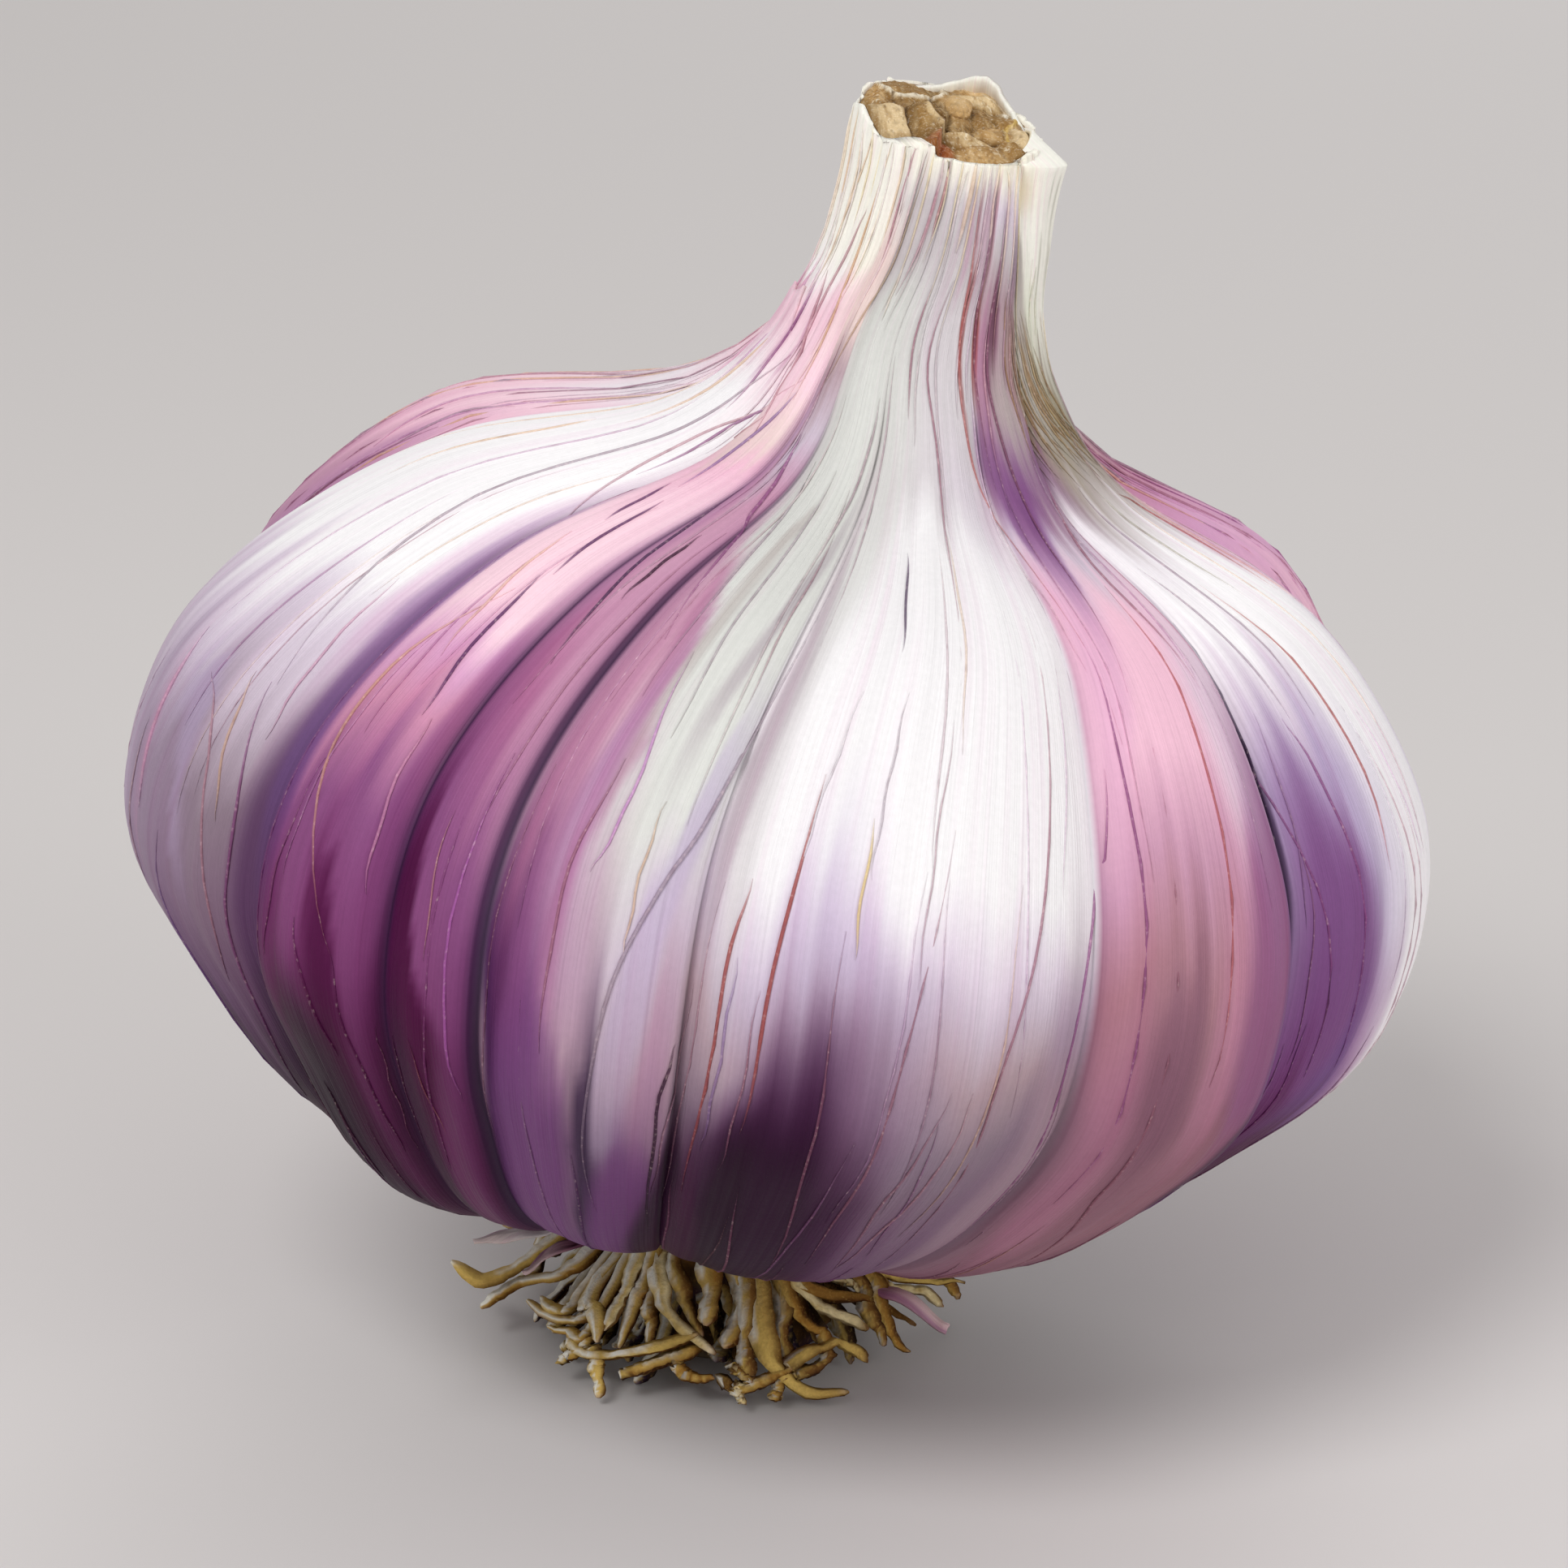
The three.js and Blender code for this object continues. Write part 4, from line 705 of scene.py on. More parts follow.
def clove_of(degrees):
    """Which clove an angle falls on, and how far across it, from 0 to 1."""
    angle = (np.asarray(degrees, float) - CREASES_AT[0]) % 360 + CREASES_AT[0]
    index = np.clip(np.searchsorted(CREASES_AT, angle, side="right") - 1, 0, len(CLOVES) - 1)
    start, end = CREASES_AT[index], CREASES_AT[index + 1]
    return index, (angle - start) / (end - start)


def of_cloves(key):
    """One of the cloves' values, for all of them in order."""
    return np.array([clove[key] for clove in CLOVES], float)


def inset(degrees):
    """How far the skin lies inside the cloves' outer line, in the creases and towards them."""
    index, part = clove_of(degrees)
    following = (index + 1) % len(CLOVES)
    width = CREASES_AT[index + 1] - CREASES_AT[index]
    start_side = np.where(of_cloves("over")[index] > 0, SHARP_SIDE, SOFT_SIDE)
    end_side = np.where(of_cloves("over")[following] < 0, SHARP_SIDE, SOFT_SIDE)
    from_start = of_cloves("depth")[index] * np.exp(-part * width / start_side)
    from_end = of_cloves("depth")[following] * np.exp(-(1 - part) * width / end_side)
    bulge = CROWN * np.minimum(width, WIDEST_CROWN) * (2 * part - 1) ** 2
    return np.maximum(from_start, from_end) + bulge


# Folds in the skin: angle, from and to along the bulb, depth in millimetres, width in degrees. The
# ones round the back are strewn. Each one rises and falls away over its own part of the bulb.
FOLD_RISE, FOLD_FALL = 0.1, 0.12
FOLDS = [
    (-95, 0.15, 0.5, 0.35, 3.0), (-82, 0.1, 0.48, 0.3, 2.4), (-72, 0.05, 0.45, 0.25, 2.0),
    (-61, 0.1, 0.55, 0.3, 2.5), (-44, 0.1, 0.5, 0.2, 1.4), (-28, 0.1, 0.55, 0.25, 1.0),
    (-19, 0.1, 0.5, 0.3, 1.2), (-6, 0.05, 0.3, 0.3, 1.3), (0, 0.02, 0.32, 0.25, 1.5),
    (12, 0.0, 0.24, 0.2, 1.6), (24, 0.05, 0.4, 0.25, 1.8), (40, 0.1, 0.5, 0.3, 2.0),
    (66, 0.1, 0.5, 0.35, 2.6), (80, 0.15, 0.55, 0.3, 2.4),
]
FOLDS += [(a, rng.uniform(0, 0.2), rng.uniform(0.35, 0.6), rng.uniform(0.15, 0.35), rng.uniform(1.2, 3))
          for a in np.arange(108, 262, 9) + rng.uniform(-3, 3, 18)]


def folds(degrees, along):
    """How deep the folds are at a place."""
    total = np.zeros(np.broadcast(degrees, along).shape)
    for at, low, high, depth, width in FOLDS:
        length = smooth(along, low, low + FOLD_RISE) * (1 - smooth(along, high - FOLD_FALL, high))
        total += depth * length * np.exp(-np.abs(turned(degrees, at)) / width)
    return total


# Pleats that gather into the neck: how many, how wide in degrees, and from where along the bulb.
# Towards the rim they ease to a part of their depth.
PLEATS, PLEAT_WIDTH = 19, 3.2
PLEATS_FROM, PLEATS_FULL = 0.6, 0.78
PLEATS_AT_RIM, PLEATS_EASE_FROM, PLEATS_EASE_TO = 0.6, 0.86, 0.97
PLEATS_AT = np.sort((np.arange(PLEATS) + rng.uniform(-0.3, 0.3, PLEATS)) * 360 / PLEATS)
PLEAT_DEPTHS = rng.uniform(0.05, 0.2, PLEATS)


def neck_pleats(degrees, along):
    """How deep the pleats that gather into the neck are at a place."""
    total = np.zeros(np.broadcast(degrees, along).shape)
    for at, depth in zip(PLEATS_AT, PLEAT_DEPTHS):
        total += depth * np.exp(-np.abs(turned(degrees, at)) / PLEAT_WIDTH)
    easing = mix(1, PLEATS_AT_RIM, smooth(along, PLEATS_EASE_FROM, PLEATS_EASE_TO))
    return total * smooth(along, PLEATS_FROM, PLEATS_FULL) * easing


def rim_drop(degrees, radius):
    """How far the cut lies below its middle, round the rim."""
    angle = np.radians(degrees)
    front = turned(degrees, 0)
    to_rim = smooth(radius, 1.5, 4)
    past_step = smooth(front, STEP_TO - 1.5, STEP_TO + 1.5)
    step = STEP_RISE * smooth(front, STEP_FROM - 8, STEP_FROM + 12) * (1 - past_step)
    dip = DIP * hump(front, DIP_AT, DIP_REACH) * to_rim
    below_step = past_step * (1 - smooth(front, 0, STEP_DROP_TO))
    across_front = window(front, FRONT_DROP_FROM, FRONT_DROP_TO, 8)
    sunk = (FRONT_DROP * across_front + STEP_DROP * below_step) * to_rim
    slant = radius * (CUT_SLANT * np.sin(angle) + CUT_TILT * np.cos(angle))
    return slant - step + dip + sunk


def skin_point(degrees, along, lift=0.0):
    """A point of the skin in the part's axes; lift raises it off the skin."""
    profile = spline(SKIN_PROFILE, along)
    radius, height = profile[..., 0], profile[..., 1]
    index, part = clove_of(degrees)
    in_neck = smooth(along, CREASES_FADE_FROM, CREASES_FADE_TO)
    creased = smooth(along, 0, 0.12) * mix(1, CREASES_IN_NECK, in_neck)
    full = hump(along, SHOULDER_AT, SHOULDER_REACH) * np.sin(np.pi * part)
    turn = np.asarray(degrees) / 360 + 0.5
    uneven = 0.22 * soft_noise(turn, along, 26, 9, 11) + 0.08 * soft_noise(turn, along, 80, 24, 12)
    fibres = 0.035 * soft_noise(turn, along, 210, 7, 16)
    puckers = 0.25 * (1 - smooth(along, 0.03, 0.16)) * soft_noise(turn, along, 120, 10, 13)
    sagged = hump(turned(degrees, SAG_AT), 0, SAG_REACH) * hump(along, SAG_ALONG, SAG_ALONG_REACH)
    r = (radius - creased * inset(degrees) + of_cloves("shoulder")[index] * full
         - folds(degrees, along) - neck_pleats(degrees, along)
         + uneven * smooth(radius, 4, 14) + fibres + puckers + lift
         + BELLY * sagged)
    rim = smooth(along, 0.955, 1)
    ragged = 0.16 * soft_noise(turn, along, 44, 1, 14) + 0.1 * soft_noise(turn, along, 130, 1, 15)
    cut = rim_drop(degrees, r) + ragged
    level = height - rim * cut - SAG * sagged
    return lean(around(degrees + wander(degrees, along), r, level, neck_shift(height)))


def column_angles():
    """The skin's columns: more of them in the creases, and more on the front than on the back."""
    widths = np.diff(CREASES_AT) ** 0.8
    middles = turned((CREASES_AT[1:] + CREASES_AT[:-1]) / 2, 0)
    widths *= np.where((middles > FRONT_FROM) & (middles < FRONT_TO), FRONT_SHARE, 1)
    counts = np.maximum(12, np.floor(SKIN_COLUMNS * widths / widths.sum())).astype(int)
    angles = []
    for start, end, count in zip(CREASES_AT, CREASES_AT[1:], counts):
        t = np.arange(count) / count
        angles.append(start + (end - start) * (t - 0.55 * np.sin(2 * np.pi * t) / (2 * np.pi)))
    return np.concatenate(angles)


def row_levels():
    """The skin's rows, spread so that neither the shoulders nor the neck are coarse."""
    lengths = np.linalg.norm(np.diff(SKIN_PROFILE, axis=0), axis=1) ** 0.6
    place = np.concatenate([[0], np.cumsum(lengths)]) / lengths.sum()
    return np.interp(np.linspace(0, 1, SKIN_ROWS), place, np.linspace(0, 1, len(SKIN_PROFILE)))


# ---- the skin's colours ----
def blend(paint, name, mask):
    """Lays one colour over the paint where the mask is 1."""
    return mix(paint, PAINT[name], np.clip(mask, 0, 1)[..., None])


def wash_mask(degrees, along, softness, path, ragged):
    """Where a wash lies: 1 inside it, fading over its edges and its two ends."""
    at, level, half = np.array(path, float).T
    across = np.abs(turned(degrees, np.interp(along, level, at)) + ragged) / np.interp(along, level, half)
    inside = 1 - smooth(across, 1 - softness, 1 + softness)
    fade = 0.03 + 0.02 * softness
    return inside * window(along, level[0], level[-1], fade)


def paint_skin(degrees, along):
    """The skin's colour at a place: its clove's tones, the washes over them, and painted shade in and
    beside the deep creases.
    """
    degrees, along = np.broadcast_arrays(np.asarray(degrees, float), np.asarray(along, float))
    index, part = clove_of(degrees)
    turn = degrees / 360 + 0.5
    streaks = soft_noise(turn, along, 150, 5, 21)
    fine = soft_noise(turn, along, 320, 12, 22)
    clouds = soft_noise(turn, along, 40, 16, 23)
    level = along + 0.016 * streaks + 0.01 * fine + 0.012 * clouds
    paint = np.zeros(degrees.shape + (3,))
    for i, clove in enumerate(CLOVES):
        stops = [stop for _, stop in clove["tones"]]
        tones = np.array([PAINT[name] for name, _ in clove["tones"]])
        own = index == i
        paint[own] = np.stack([np.interp(level[own], stops, tones[:, k]) for k in range(3)], -1)
    ragged = 0.7 * clouds + 0.3 * streaks
    for name, strength, softness, path in WASHES:
        paint = blend(paint, name, strength * wash_mask(degrees, level, softness, path, ragged))
    to_crease = np.minimum(part, 1 - part) * (CREASES_AT[index + 1] - CREASES_AT[index])
    nearest = (index + (part > 0.5)) % len(CLOVES)
    deep = smooth(of_cloves("depth")[nearest], 0.4, 0.8) * window(along, 0.1, 0.56, 0.1)
    # painted shade: a broad indigo shade beside each deep crease, and a dark ink line in its bottom
    paint = blend(paint, "indigo", 0.3 * deep * np.exp(-to_crease / 1.2))
    return blend(paint, "ink", 0.75 * deep * np.exp(-(to_crease / 0.42) ** 2))


def garlic_skin():
    """The whole skin in one closed piece: its underside, its outside, the rim and the mouth's wall."""
    angles, along = column_angles(), row_levels()
    degrees, rows = np.meshgrid(angles, along)
    paint = paint_skin(degrees, rows)
    under = np.array([lean(around(angles, r, h)) for r, h in UNDERSIDE])
    inner = np.array([lean(around(angles, r, h - rim_drop(angles, r), MOUTH_AXIS)) for r, h in MOUTH[:2]]
                     + [lean(around(angles, r, h, MOUTH_AXIS)) for r, h in MOUTH[2:]])
    rings = np.concatenate([under, skin_point(degrees, rows), inner])
    wall = np.broadcast_to(PAINT["tan"], (len(inner) - 1, len(angles), 3))
    tones = np.concatenate([np.repeat(paint[:1], len(under), 0), paint, paint[-1:], wall])
    piece = ringed_piece("skin", rings, tones)
    levels = np.concatenate([np.zeros(len(under)), along, np.ones(len(inner))])
    add_fibre(piece, np.concatenate([np.tile(angles, len(rings)), [0, 0]]),
              np.concatenate([np.repeat(levels, len(angles)), [0, 1]]))
    return piece


def add_fibre(piece, degrees, along):
    """Where each point lies round and along the bulb, for the fibres of its material."""
    angle = np.radians(degrees)
    add_attribute(piece, "fibre", "FLOAT_VECTOR", np.stack([np.cos(angle), np.sin(angle), along], -1))


# ---- lines with a thickness: veins and roots ----
def tube_tree():
    """Turns the edges of a mesh into tubes of its points' girth, with a star for their profile."""
    tree = bpy.data.node_groups.new("tubes_on_lines", "GeometryNodeTree")
    for name, kind in (("Lines", "Geometry"), ("Sides", "Int"), ("Groove", "Float"),
                       ("Flatness", "Vector"), ("Crumple", "Float"), ("Grain", "Float"),
                       ("Seed", "Float"), ("Material", "Material")):
        tree.interface.new_socket(name, in_out="INPUT", socket_type="NodeSocket" + kind)
    tree.interface.new_socket("Tubes", in_out="OUTPUT", socket_type="NodeSocketGeometry")
    given = tree.nodes.new("NodeGroupInput").outputs
    lines = add_node(tree, "GeometryNodeMeshToCurve", {"Mesh": given["Lines"]})
    curves = add_node(tree, "GeometryNodeSetCurveNormal", {"Curve": lines.outputs["Curve"]}, mode="Z_UP")
    girth = add_node(tree, "GeometryNodeInputNamedAttribute", {"Name": "girth"}, data_type="FLOAT")
    profile = add_node(tree, "GeometryNodeCurveStar", {
        "Points": given["Sides"], "Inner Radius": given["Groove"], "Outer Radius": 1.0})
    flat = add_node(tree, "GeometryNodeTransform", {
        "Geometry": profile.outputs["Curve"], "Scale": given["Flatness"]})
    tubes = add_node(tree, "GeometryNodeCurveToMesh", {
        "Curve": curves.outputs["Curve"], "Profile Curve": flat.outputs["Geometry"],
        "Scale": girth.outputs["Attribute"], "Fill Caps": True})
    noise = add_node(tree, "ShaderNodeTexNoise", {
        "W": given["Seed"], "Scale": given["Grain"], "Detail": 2.0}, noise_dimensions="4D")
    centred = add_node(tree, "ShaderNodeMath", {0: noise.outputs[0], 1: 0.5}, operation="SUBTRACT")
    depth = add_node(tree, "ShaderNodeMath", {
        0: centred.outputs[0], 1: given["Crumple"]}, operation="MULTIPLY")
    normal = add_node(tree, "GeometryNodeInputNormal")
    offset = add_node(tree, "ShaderNodeVectorMath", {
        0: normal.outputs["Normal"], "Scale": depth.outputs[0]}, operation="SCALE")
    moved = add_node(tree, "GeometryNodeSetPosition", {
        "Geometry": tubes.outputs["Mesh"], "Offset": offset.outputs[0]})
    rounded = add_node(tree, "GeometryNodeSetShadeSmooth", {"Geometry": moved.outputs["Geometry"]})
    real = add_node(tree, "GeometryNodeRealizeInstances", {"Geometry": rounded.outputs["Geometry"]})
    dressed = add_node(tree, "GeometryNodeSetMaterial", {
        "Geometry": real.outputs["Geometry"], "Material": given["Material"]})
    tree.links.new(dressed.outputs["Geometry"], tree.nodes.new("NodeGroupOutput").inputs["Tubes"])
    return tree


def add_node(tree, kind, inputs=None, **settings):
    """A node of one kind with its settings, its values and its links."""
    node = tree.nodes.new(kind)
    for key, value in settings.items():
        setattr(node, key, value)
    for key, value in (inputs or {}).items():
        if isinstance(value, bpy.types.NodeSocket):
            tree.links.new(value, node.inputs[key])
        else:
            node.inputs[key].default_value = value
    return node


def tubes(name, lines, girths, tints, tree, material, sides, groove, flatness, crumple, grain):
    """One piece from many lines of points in millimetres, each point with a half width and a colour."""
    starts = np.cumsum([0] + [len(line) for line in lines])
    edges = [(a + k, a + k + 1) for a, line in zip(starts, lines) for k in range(len(line) - 1)]
    mesh = bpy.data.meshes.new(name)
    mesh.from_pydata((np.concatenate(lines) * MM).tolist(), edges, [])
    piece = bpy.data.objects.new(name, mesh)
    bpy.context.scene.collection.objects.link(piece)
    add_attribute(piece, "girth", "FLOAT", np.concatenate(girths) * MM)
    add_attribute(piece, "paint", "FLOAT_COLOR", np.concatenate(tints))
    modifier = piece.modifiers.new("tubes", "NODES")
    modifier.node_group = tree
    values = {"Sides": sides, "Groove": groove, "Flatness": flatness, "Crumple": crumple * MM,
              "Grain": 1 / (grain * MM), "Seed": 3.0, "Material": material}
    for item in tree.interface.items_tree:
        if item.in_out == "INPUT" and item.name in values:
            modifier[item.identifier] = values[item.name]
    bpy.context.view_layer.update()
    solid = bpy.data.meshes.new_from_object(piece.evaluated_get(bpy.context.evaluated_depsgraph_get()))
    piece.modifiers.clear()
    piece.data = solid
    return piece


def placed_veins():
    """Each vein's path, half width, paint and strength: the drawn ones, then the strewn ones."""
    placed = [(np.array(path, float), DRAWN_GIRTH * girth, name, DRAWN_STRENGTH * strength)
              for name, girth, strength, path in VEINS]
    for _ in range(STREWN_VEINS):
        at = rng.uniform(-180, 180)
        low = rng.choice([rng.uniform(0.05, 0.45), rng.uniform(0.4, 0.75)])
        front = abs(at) < 100
        if front and rng.random() < 0.5:
            continue
        reach = rng.uniform(0.06, 0.2) if front else rng.uniform(0.1, 0.4)
        sway = rng.uniform(-2.2, 2.2)
        path = [(at, low), (at + sway * 0.5, low + reach / 2), (at + sway, min(low + reach, 0.99))]
        strength = rng.uniform(0.15, 0.4) if front else rng.uniform(0.3, 0.65)
        if front and low > 0.56:
            strength *= 0.5
        girth = rng.uniform(0.035, 0.055 if front else 0.085)
        placed.append((np.array(path), girth, rng.choice(STREWN_PAINTS), strength))
    for at in np.arange(0, 360, NECK_VEIN_STEP) + rng.uniform(-3, 3, 360 // NECK_VEIN_STEP):
        low = rng.uniform(0.68, 0.82)
        path = [(at, low), (at + rng.uniform(-2, 2), 0.9), (at + rng.uniform(-3, 3), rng.uniform(0.94, 1))]
        girth = rng.uniform(0.035, 0.06)
        placed.append((np.array(path), girth, rng.choice(NECK_VEIN_PAINTS), 0.28))
    return placed


def skin_veins(tree, material):
    """The veins as fine raised lines on the skin, each fading into its colour at both ends."""
    degrees, along, girths, paints, strengths, counts = [], [], [], [], [], []
    for path, girth, name, strength in placed_veins():
        count = max(12, 6 * (len(path) - 1) + 1)
        t = np.linspace(0, 1, count)
        line = spline(path, t)
        wave = 0.12 * np.sin(t * rng.uniform(9, 20) + rng.uniform(0, 6))
        taper = np.clip(np.minimum(t, 1 - t) * 3, 0.08, 1) ** 0.8
        degrees.append(line[:, 0] + wave)
        along.append(line[:, 1])
        girths.append(girth * taper)
        strengths.append(strength * np.clip(taper * 1.1, 0, 1))
        paints.append(np.repeat(PAINT[name][None], count, 0))
        counts.append(count)
    degrees, along = np.concatenate(degrees), np.concatenate(along)
    points = skin_point(degrees, along, VEIN_LIFT)
    strengths = np.concatenate(strengths)[:, None]
    tints = mix(paint_skin(degrees, along), np.concatenate(paints), strengths)
    cuts = np.cumsum(counts)[:-1]
    return tubes("skin_veins", np.split(points, cuts), girths, np.split(tints, cuts), tree, material,
                 sides=3, groove=0.9, flatness=(1, 1, 1), crumple=0, grain=1)


def root_point(degrees, reach, height):
    """A place round the root end, in the part's axes."""
    return around(degrees, reach, height, ROOT_CENTRE)


def root_lines():
    """Each root's half thickness, paint and path from the plate out: the drawn ones, then the strewn."""
    lines = []
    for half, name, path in ROOTS:
        first = path[0]
        stem = [(first[0],) + STEM] if first[2] > STEM_ABOVE else []
        lines.append((half, name, stem + list(path)))
    for k in range(BACK_ROOTS):
        at = BACK_ROOTS_FROM + BACK_ROOTS_SPAN * (k + 0.5) / BACK_ROOTS + rng.uniform(-4, 4)
        out, tip = rng.uniform(9.3, 12.2), rng.uniform(0.5, 3.6)
        bend = rng.uniform(-16, 16)
        path = [(at, 5.3, 6.2), (at + bend * 0.1, 6.8, 5.0),
                (at + bend * 0.4, (out + 7) / 2, 3.9 + rng.uniform(-0.8, 0.4)),
                (at + bend * 0.8, out - 0.8, (tip + 2.6) / 2), (at + bend, out, tip)]
        lines.append((rng.uniform(0.28, 0.44), rng.choice(("gold", "straw", "umber", "gold")), path))
    for k in range(HIDDEN_ROOTS):
        at = 360 * (k + rng.uniform(0.2, 0.8)) / HIDDEN_ROOTS
        out = rng.uniform(6.6, 9.2)
        bend = rng.uniform(-22, 22)
        path = [(at, 4.6, 4.6), (at + bend * 0.3, 5.6, 3.6),
                (at + bend * 0.7, out - 1.0, rng.uniform(1.2, 2.4)),
                (at + bend, out, rng.uniform(0.35, 1.2))]
        # painted shade: the hidden roots get only dark paints, for the shade under the bulb
        lines.append((rng.uniform(0.28, 0.42), rng.choice(("umber", "bark", "ink")), path))
    return lines


def light_roots(mesh):
    """Paints light and shade on the roots: painted highlights, straw then cream, on the sides that face up
    to the front left, and painted shade on the ones that face away.
    """
    normals = np.empty(len(mesh.vertices) * 3, np.float32)
    tint = np.empty(len(mesh.vertices) * 4, np.float32)
    mesh.vertex_normals.foreach_get("vector", normals)
    mesh.attributes["paint"].data.foreach_get("color", tint)
    toward_painted_light = normals.reshape(-1, 3) @ np.array(PAINTED_LIGHT_FROM)
    tint = tint.reshape(-1, 4)
    tint[:, :3] = mix(tint[:, :3] * ROOT_PAINTED_SHADE, tint[:, :3], smooth(toward_painted_light, -0.35, 0.35)[:, None])
    tint[:, :3] = mix(tint[:, :3], linear(PAINT["straw"]), 0.75 * smooth(toward_painted_light, 0.35, 0.65)[:, None])
    tint[:, :3] = mix(tint[:, :3], linear(PAINT["cream"]), 0.95 * smooth(toward_painted_light, 0.72, 0.9)[:, None])
    mesh.attributes["paint"].data.foreach_set("color", tint.ravel())


def dried_roots(tree, material):
    """All the roots in one piece: crinkled, of uneven girth, and tapered to their cut tips."""
    lines, girths, tints = [], [], []
    t = np.linspace(0, 1, ROOT_STEPS)
    pale_body = mix(PAINT["straw"], PAINT["cream"], 0.45)
    for half, name, path in root_lines():
        line = spline(np.array([root_point(*place) for place in path]), t)
        crinkle = np.cumsum(rng.normal(0, 0.035, (ROOT_STEPS, 3)), axis=0)
        line += crinkle - crinkle[:1]
        swelling = 1 + 0.22 * np.sin(t * rng.uniform(5, 13) + rng.uniform(0, 6))
        girth = ROOT_GIRTH * half * (1.05 - 0.3 * t) * swelling
        girth[-len(TIP_TAPER):] *= TIP_TAPER
        line[:, 2] = np.maximum(line[:, 2], girth * 0.9)
        shade = 0.5 + 0.5 * np.sin(t * rng.uniform(5, 12) + rng.uniform(0, 6))
        body = pale_body if name == "cream" else PAINT[name]
        tint = mix(body, PAINT["umber"], (0.35 * shade * (name != "cream"))[:, None])
        # painted shade: each root darker at its start, under the bulb by the plate
        tint = mix(tint, PAINT["bark"], (0.6 * (1 - smooth(t, 0.0, 0.25)))[:, None])
        tint = mix(tint, PAINT["petal"], (0.5 * smooth(t, 0.9, 1))[:, None])
        lines.append(line)
        girths.append(girth)
        tints.append(tint)
    piece = tubes("dried_roots", lines, girths, tints, tree, material, sides=5, groove=0.7,
                  flatness=(1.35, 0.8, 1), crumple=0.34, grain=0.8)
    # painted light and shade, by the way each side of a root faces
    light_roots(piece.data)
    return piece


def plate_side(degrees, up):
    """The plate's side: flat on the ground at 0 and square to the leaning bulb at 1."""
    flat = around(degrees, REST_RADIUS, 0.0)
    leant = lean(around(degrees, PLATE_RADIUS, 0.0))
    return mix(flat, leant, np.asarray(up)[..., None])


def root_plate():
    """The corky plate: flat on the ground below, leaning with the bulb above, rough in between."""
    degrees, up = np.meshgrid(np.arange(0, 360, 3.0), np.linspace(0, 1, 22))
    turn = degrees / 360
    points = plate_side(degrees, up)
    rough = 0.3 * soft_noise(turn, up, 30, 7, 41) + 0.18 * soft_noise(turn, up, 90, 18, 42)
    points += around(degrees, 1, 0) * (rough * smooth(up, 0, 0.15))[..., None]
    top = np.array([lean(around(degrees[0], r, h)) for r, h in PLATE_TOP])
    patches = soft_noise(turn, up, 26, 8, 43)
    tint = mix(PAINT["bark"], PAINT["umber"], smooth(patches, -0.4, 0.6)[..., None])
    # painted shade: darker in the plate's dents, and ink patches for the shade among the roots
    tint = blend(tint, "bark", smooth(rough, 0.05, -0.25))
    tint = blend(tint, "ink", 0.6 * smooth(soft_noise(turn, up, 34, 6, 44), 0.2, 0.7))
    tint = blend(tint, "olive", 0.5 * smooth(soft_noise(turn, up, 22, 5, 45), 0.35, 0.8))
    tones = np.concatenate([tint.reshape(-1, 3), np.repeat(tint[-1], len(PLATE_TOP), 0)])
    return ringed_piece("root_plate", np.concatenate([points, top]), tones)


# ---- thin torn sheets of skin ----
def sheet(name, points, thickness, degrees, along, paint, inner_paint):
    """A closed shell on a grid of points, with its fibres and a colour for each of its two faces."""
    across, up = np.gradient(points, axis=1), np.gradient(points, axis=0)
    normals = np.cross(across, up)
    normals /= np.maximum(np.linalg.norm(normals, axis=-1, keepdims=True), 1e-9)
    rows, columns = points.shape[:2]
    verts = np.concatenate([points.reshape(-1, 3), (points - normals * thickness).reshape(-1, 3)])
    half = rows * columns
    faces = grid_faces(rows, columns) + grid_faces(rows, columns, half, flip=True)
    rim = (list(range(columns)) + [i * columns + columns - 1 for i in range(1, rows)]
           + [(rows - 1) * columns + j for j in range(columns - 2, -1, -1)]
           + [i * columns for i in range(rows - 2, 0, -1)])
    faces += [(b, a, a + half, b + half) for a, b in zip(rim, rim[1:] + rim[:1])]
    piece = mesh_piece(name, verts, faces)
    both_paints = np.concatenate([paint.reshape(-1, 3), inner_paint.reshape(-1, 3)])
    add_attribute(piece, "paint", "FLOAT_COLOR", both_paints)
    add_fibre(piece, np.tile(degrees.ravel(), 2), np.tile(along.ravel(), 2))
    return piece


def join_pieces(name, pieces):
    """One mesh from several; the others go."""
    bpy.context.view_layer.update()
    with bpy.context.temp_override(active_object=pieces[0], selected_editable_objects=pieces,
                                   selected_objects=pieces, object=pieces[0]):
        bpy.ops.object.join()
    pieces[0].name = pieces[0].data.name = name
    return pieces[0]


def torn_edge():
    """The outer skin's torn end, standing a little off the left of the neck's foot."""
    columns, rows = 74, 22
    degrees, up = np.meshgrid(np.linspace(-140, -46, columns), np.linspace(0, 1, rows))
    turn = degrees / 360 + 0.5
    length = window(degrees, -128, -60, 12)
    ragged = 0.012 * soft_noise(turn, up * 0, 40, 1, 51) + 0.006 * soft_noise(turn, up * 0, 120, 1, 52)
    top = 0.64 + (0.085 + ragged) * length
    along = 0.58 + (top - 0.58) * up
    lift = -0.1 + 0.34 * smooth(along, 0.6, 0.73) * length + 0.04 * soft_noise(turn, up, 60, 3, 53) * up
    points = skin_point(degrees, along, lift)
    paint = paint_skin(degrees, along)
    paint = blend(paint, "blush", 0.6 * smooth(up, 0.5, 1) * length)
    paint = blend(paint, "rose", 0.4 * hump(soft_noise(turn, up, 70, 2, 54), 0.4, 0.2) * up)
    inner_paint = blend(paint, "petal", np.full(up.shape, 0.7))
    return sheet("torn_skin_edge", points, 0.2, degrees, along, paint, inner_paint)


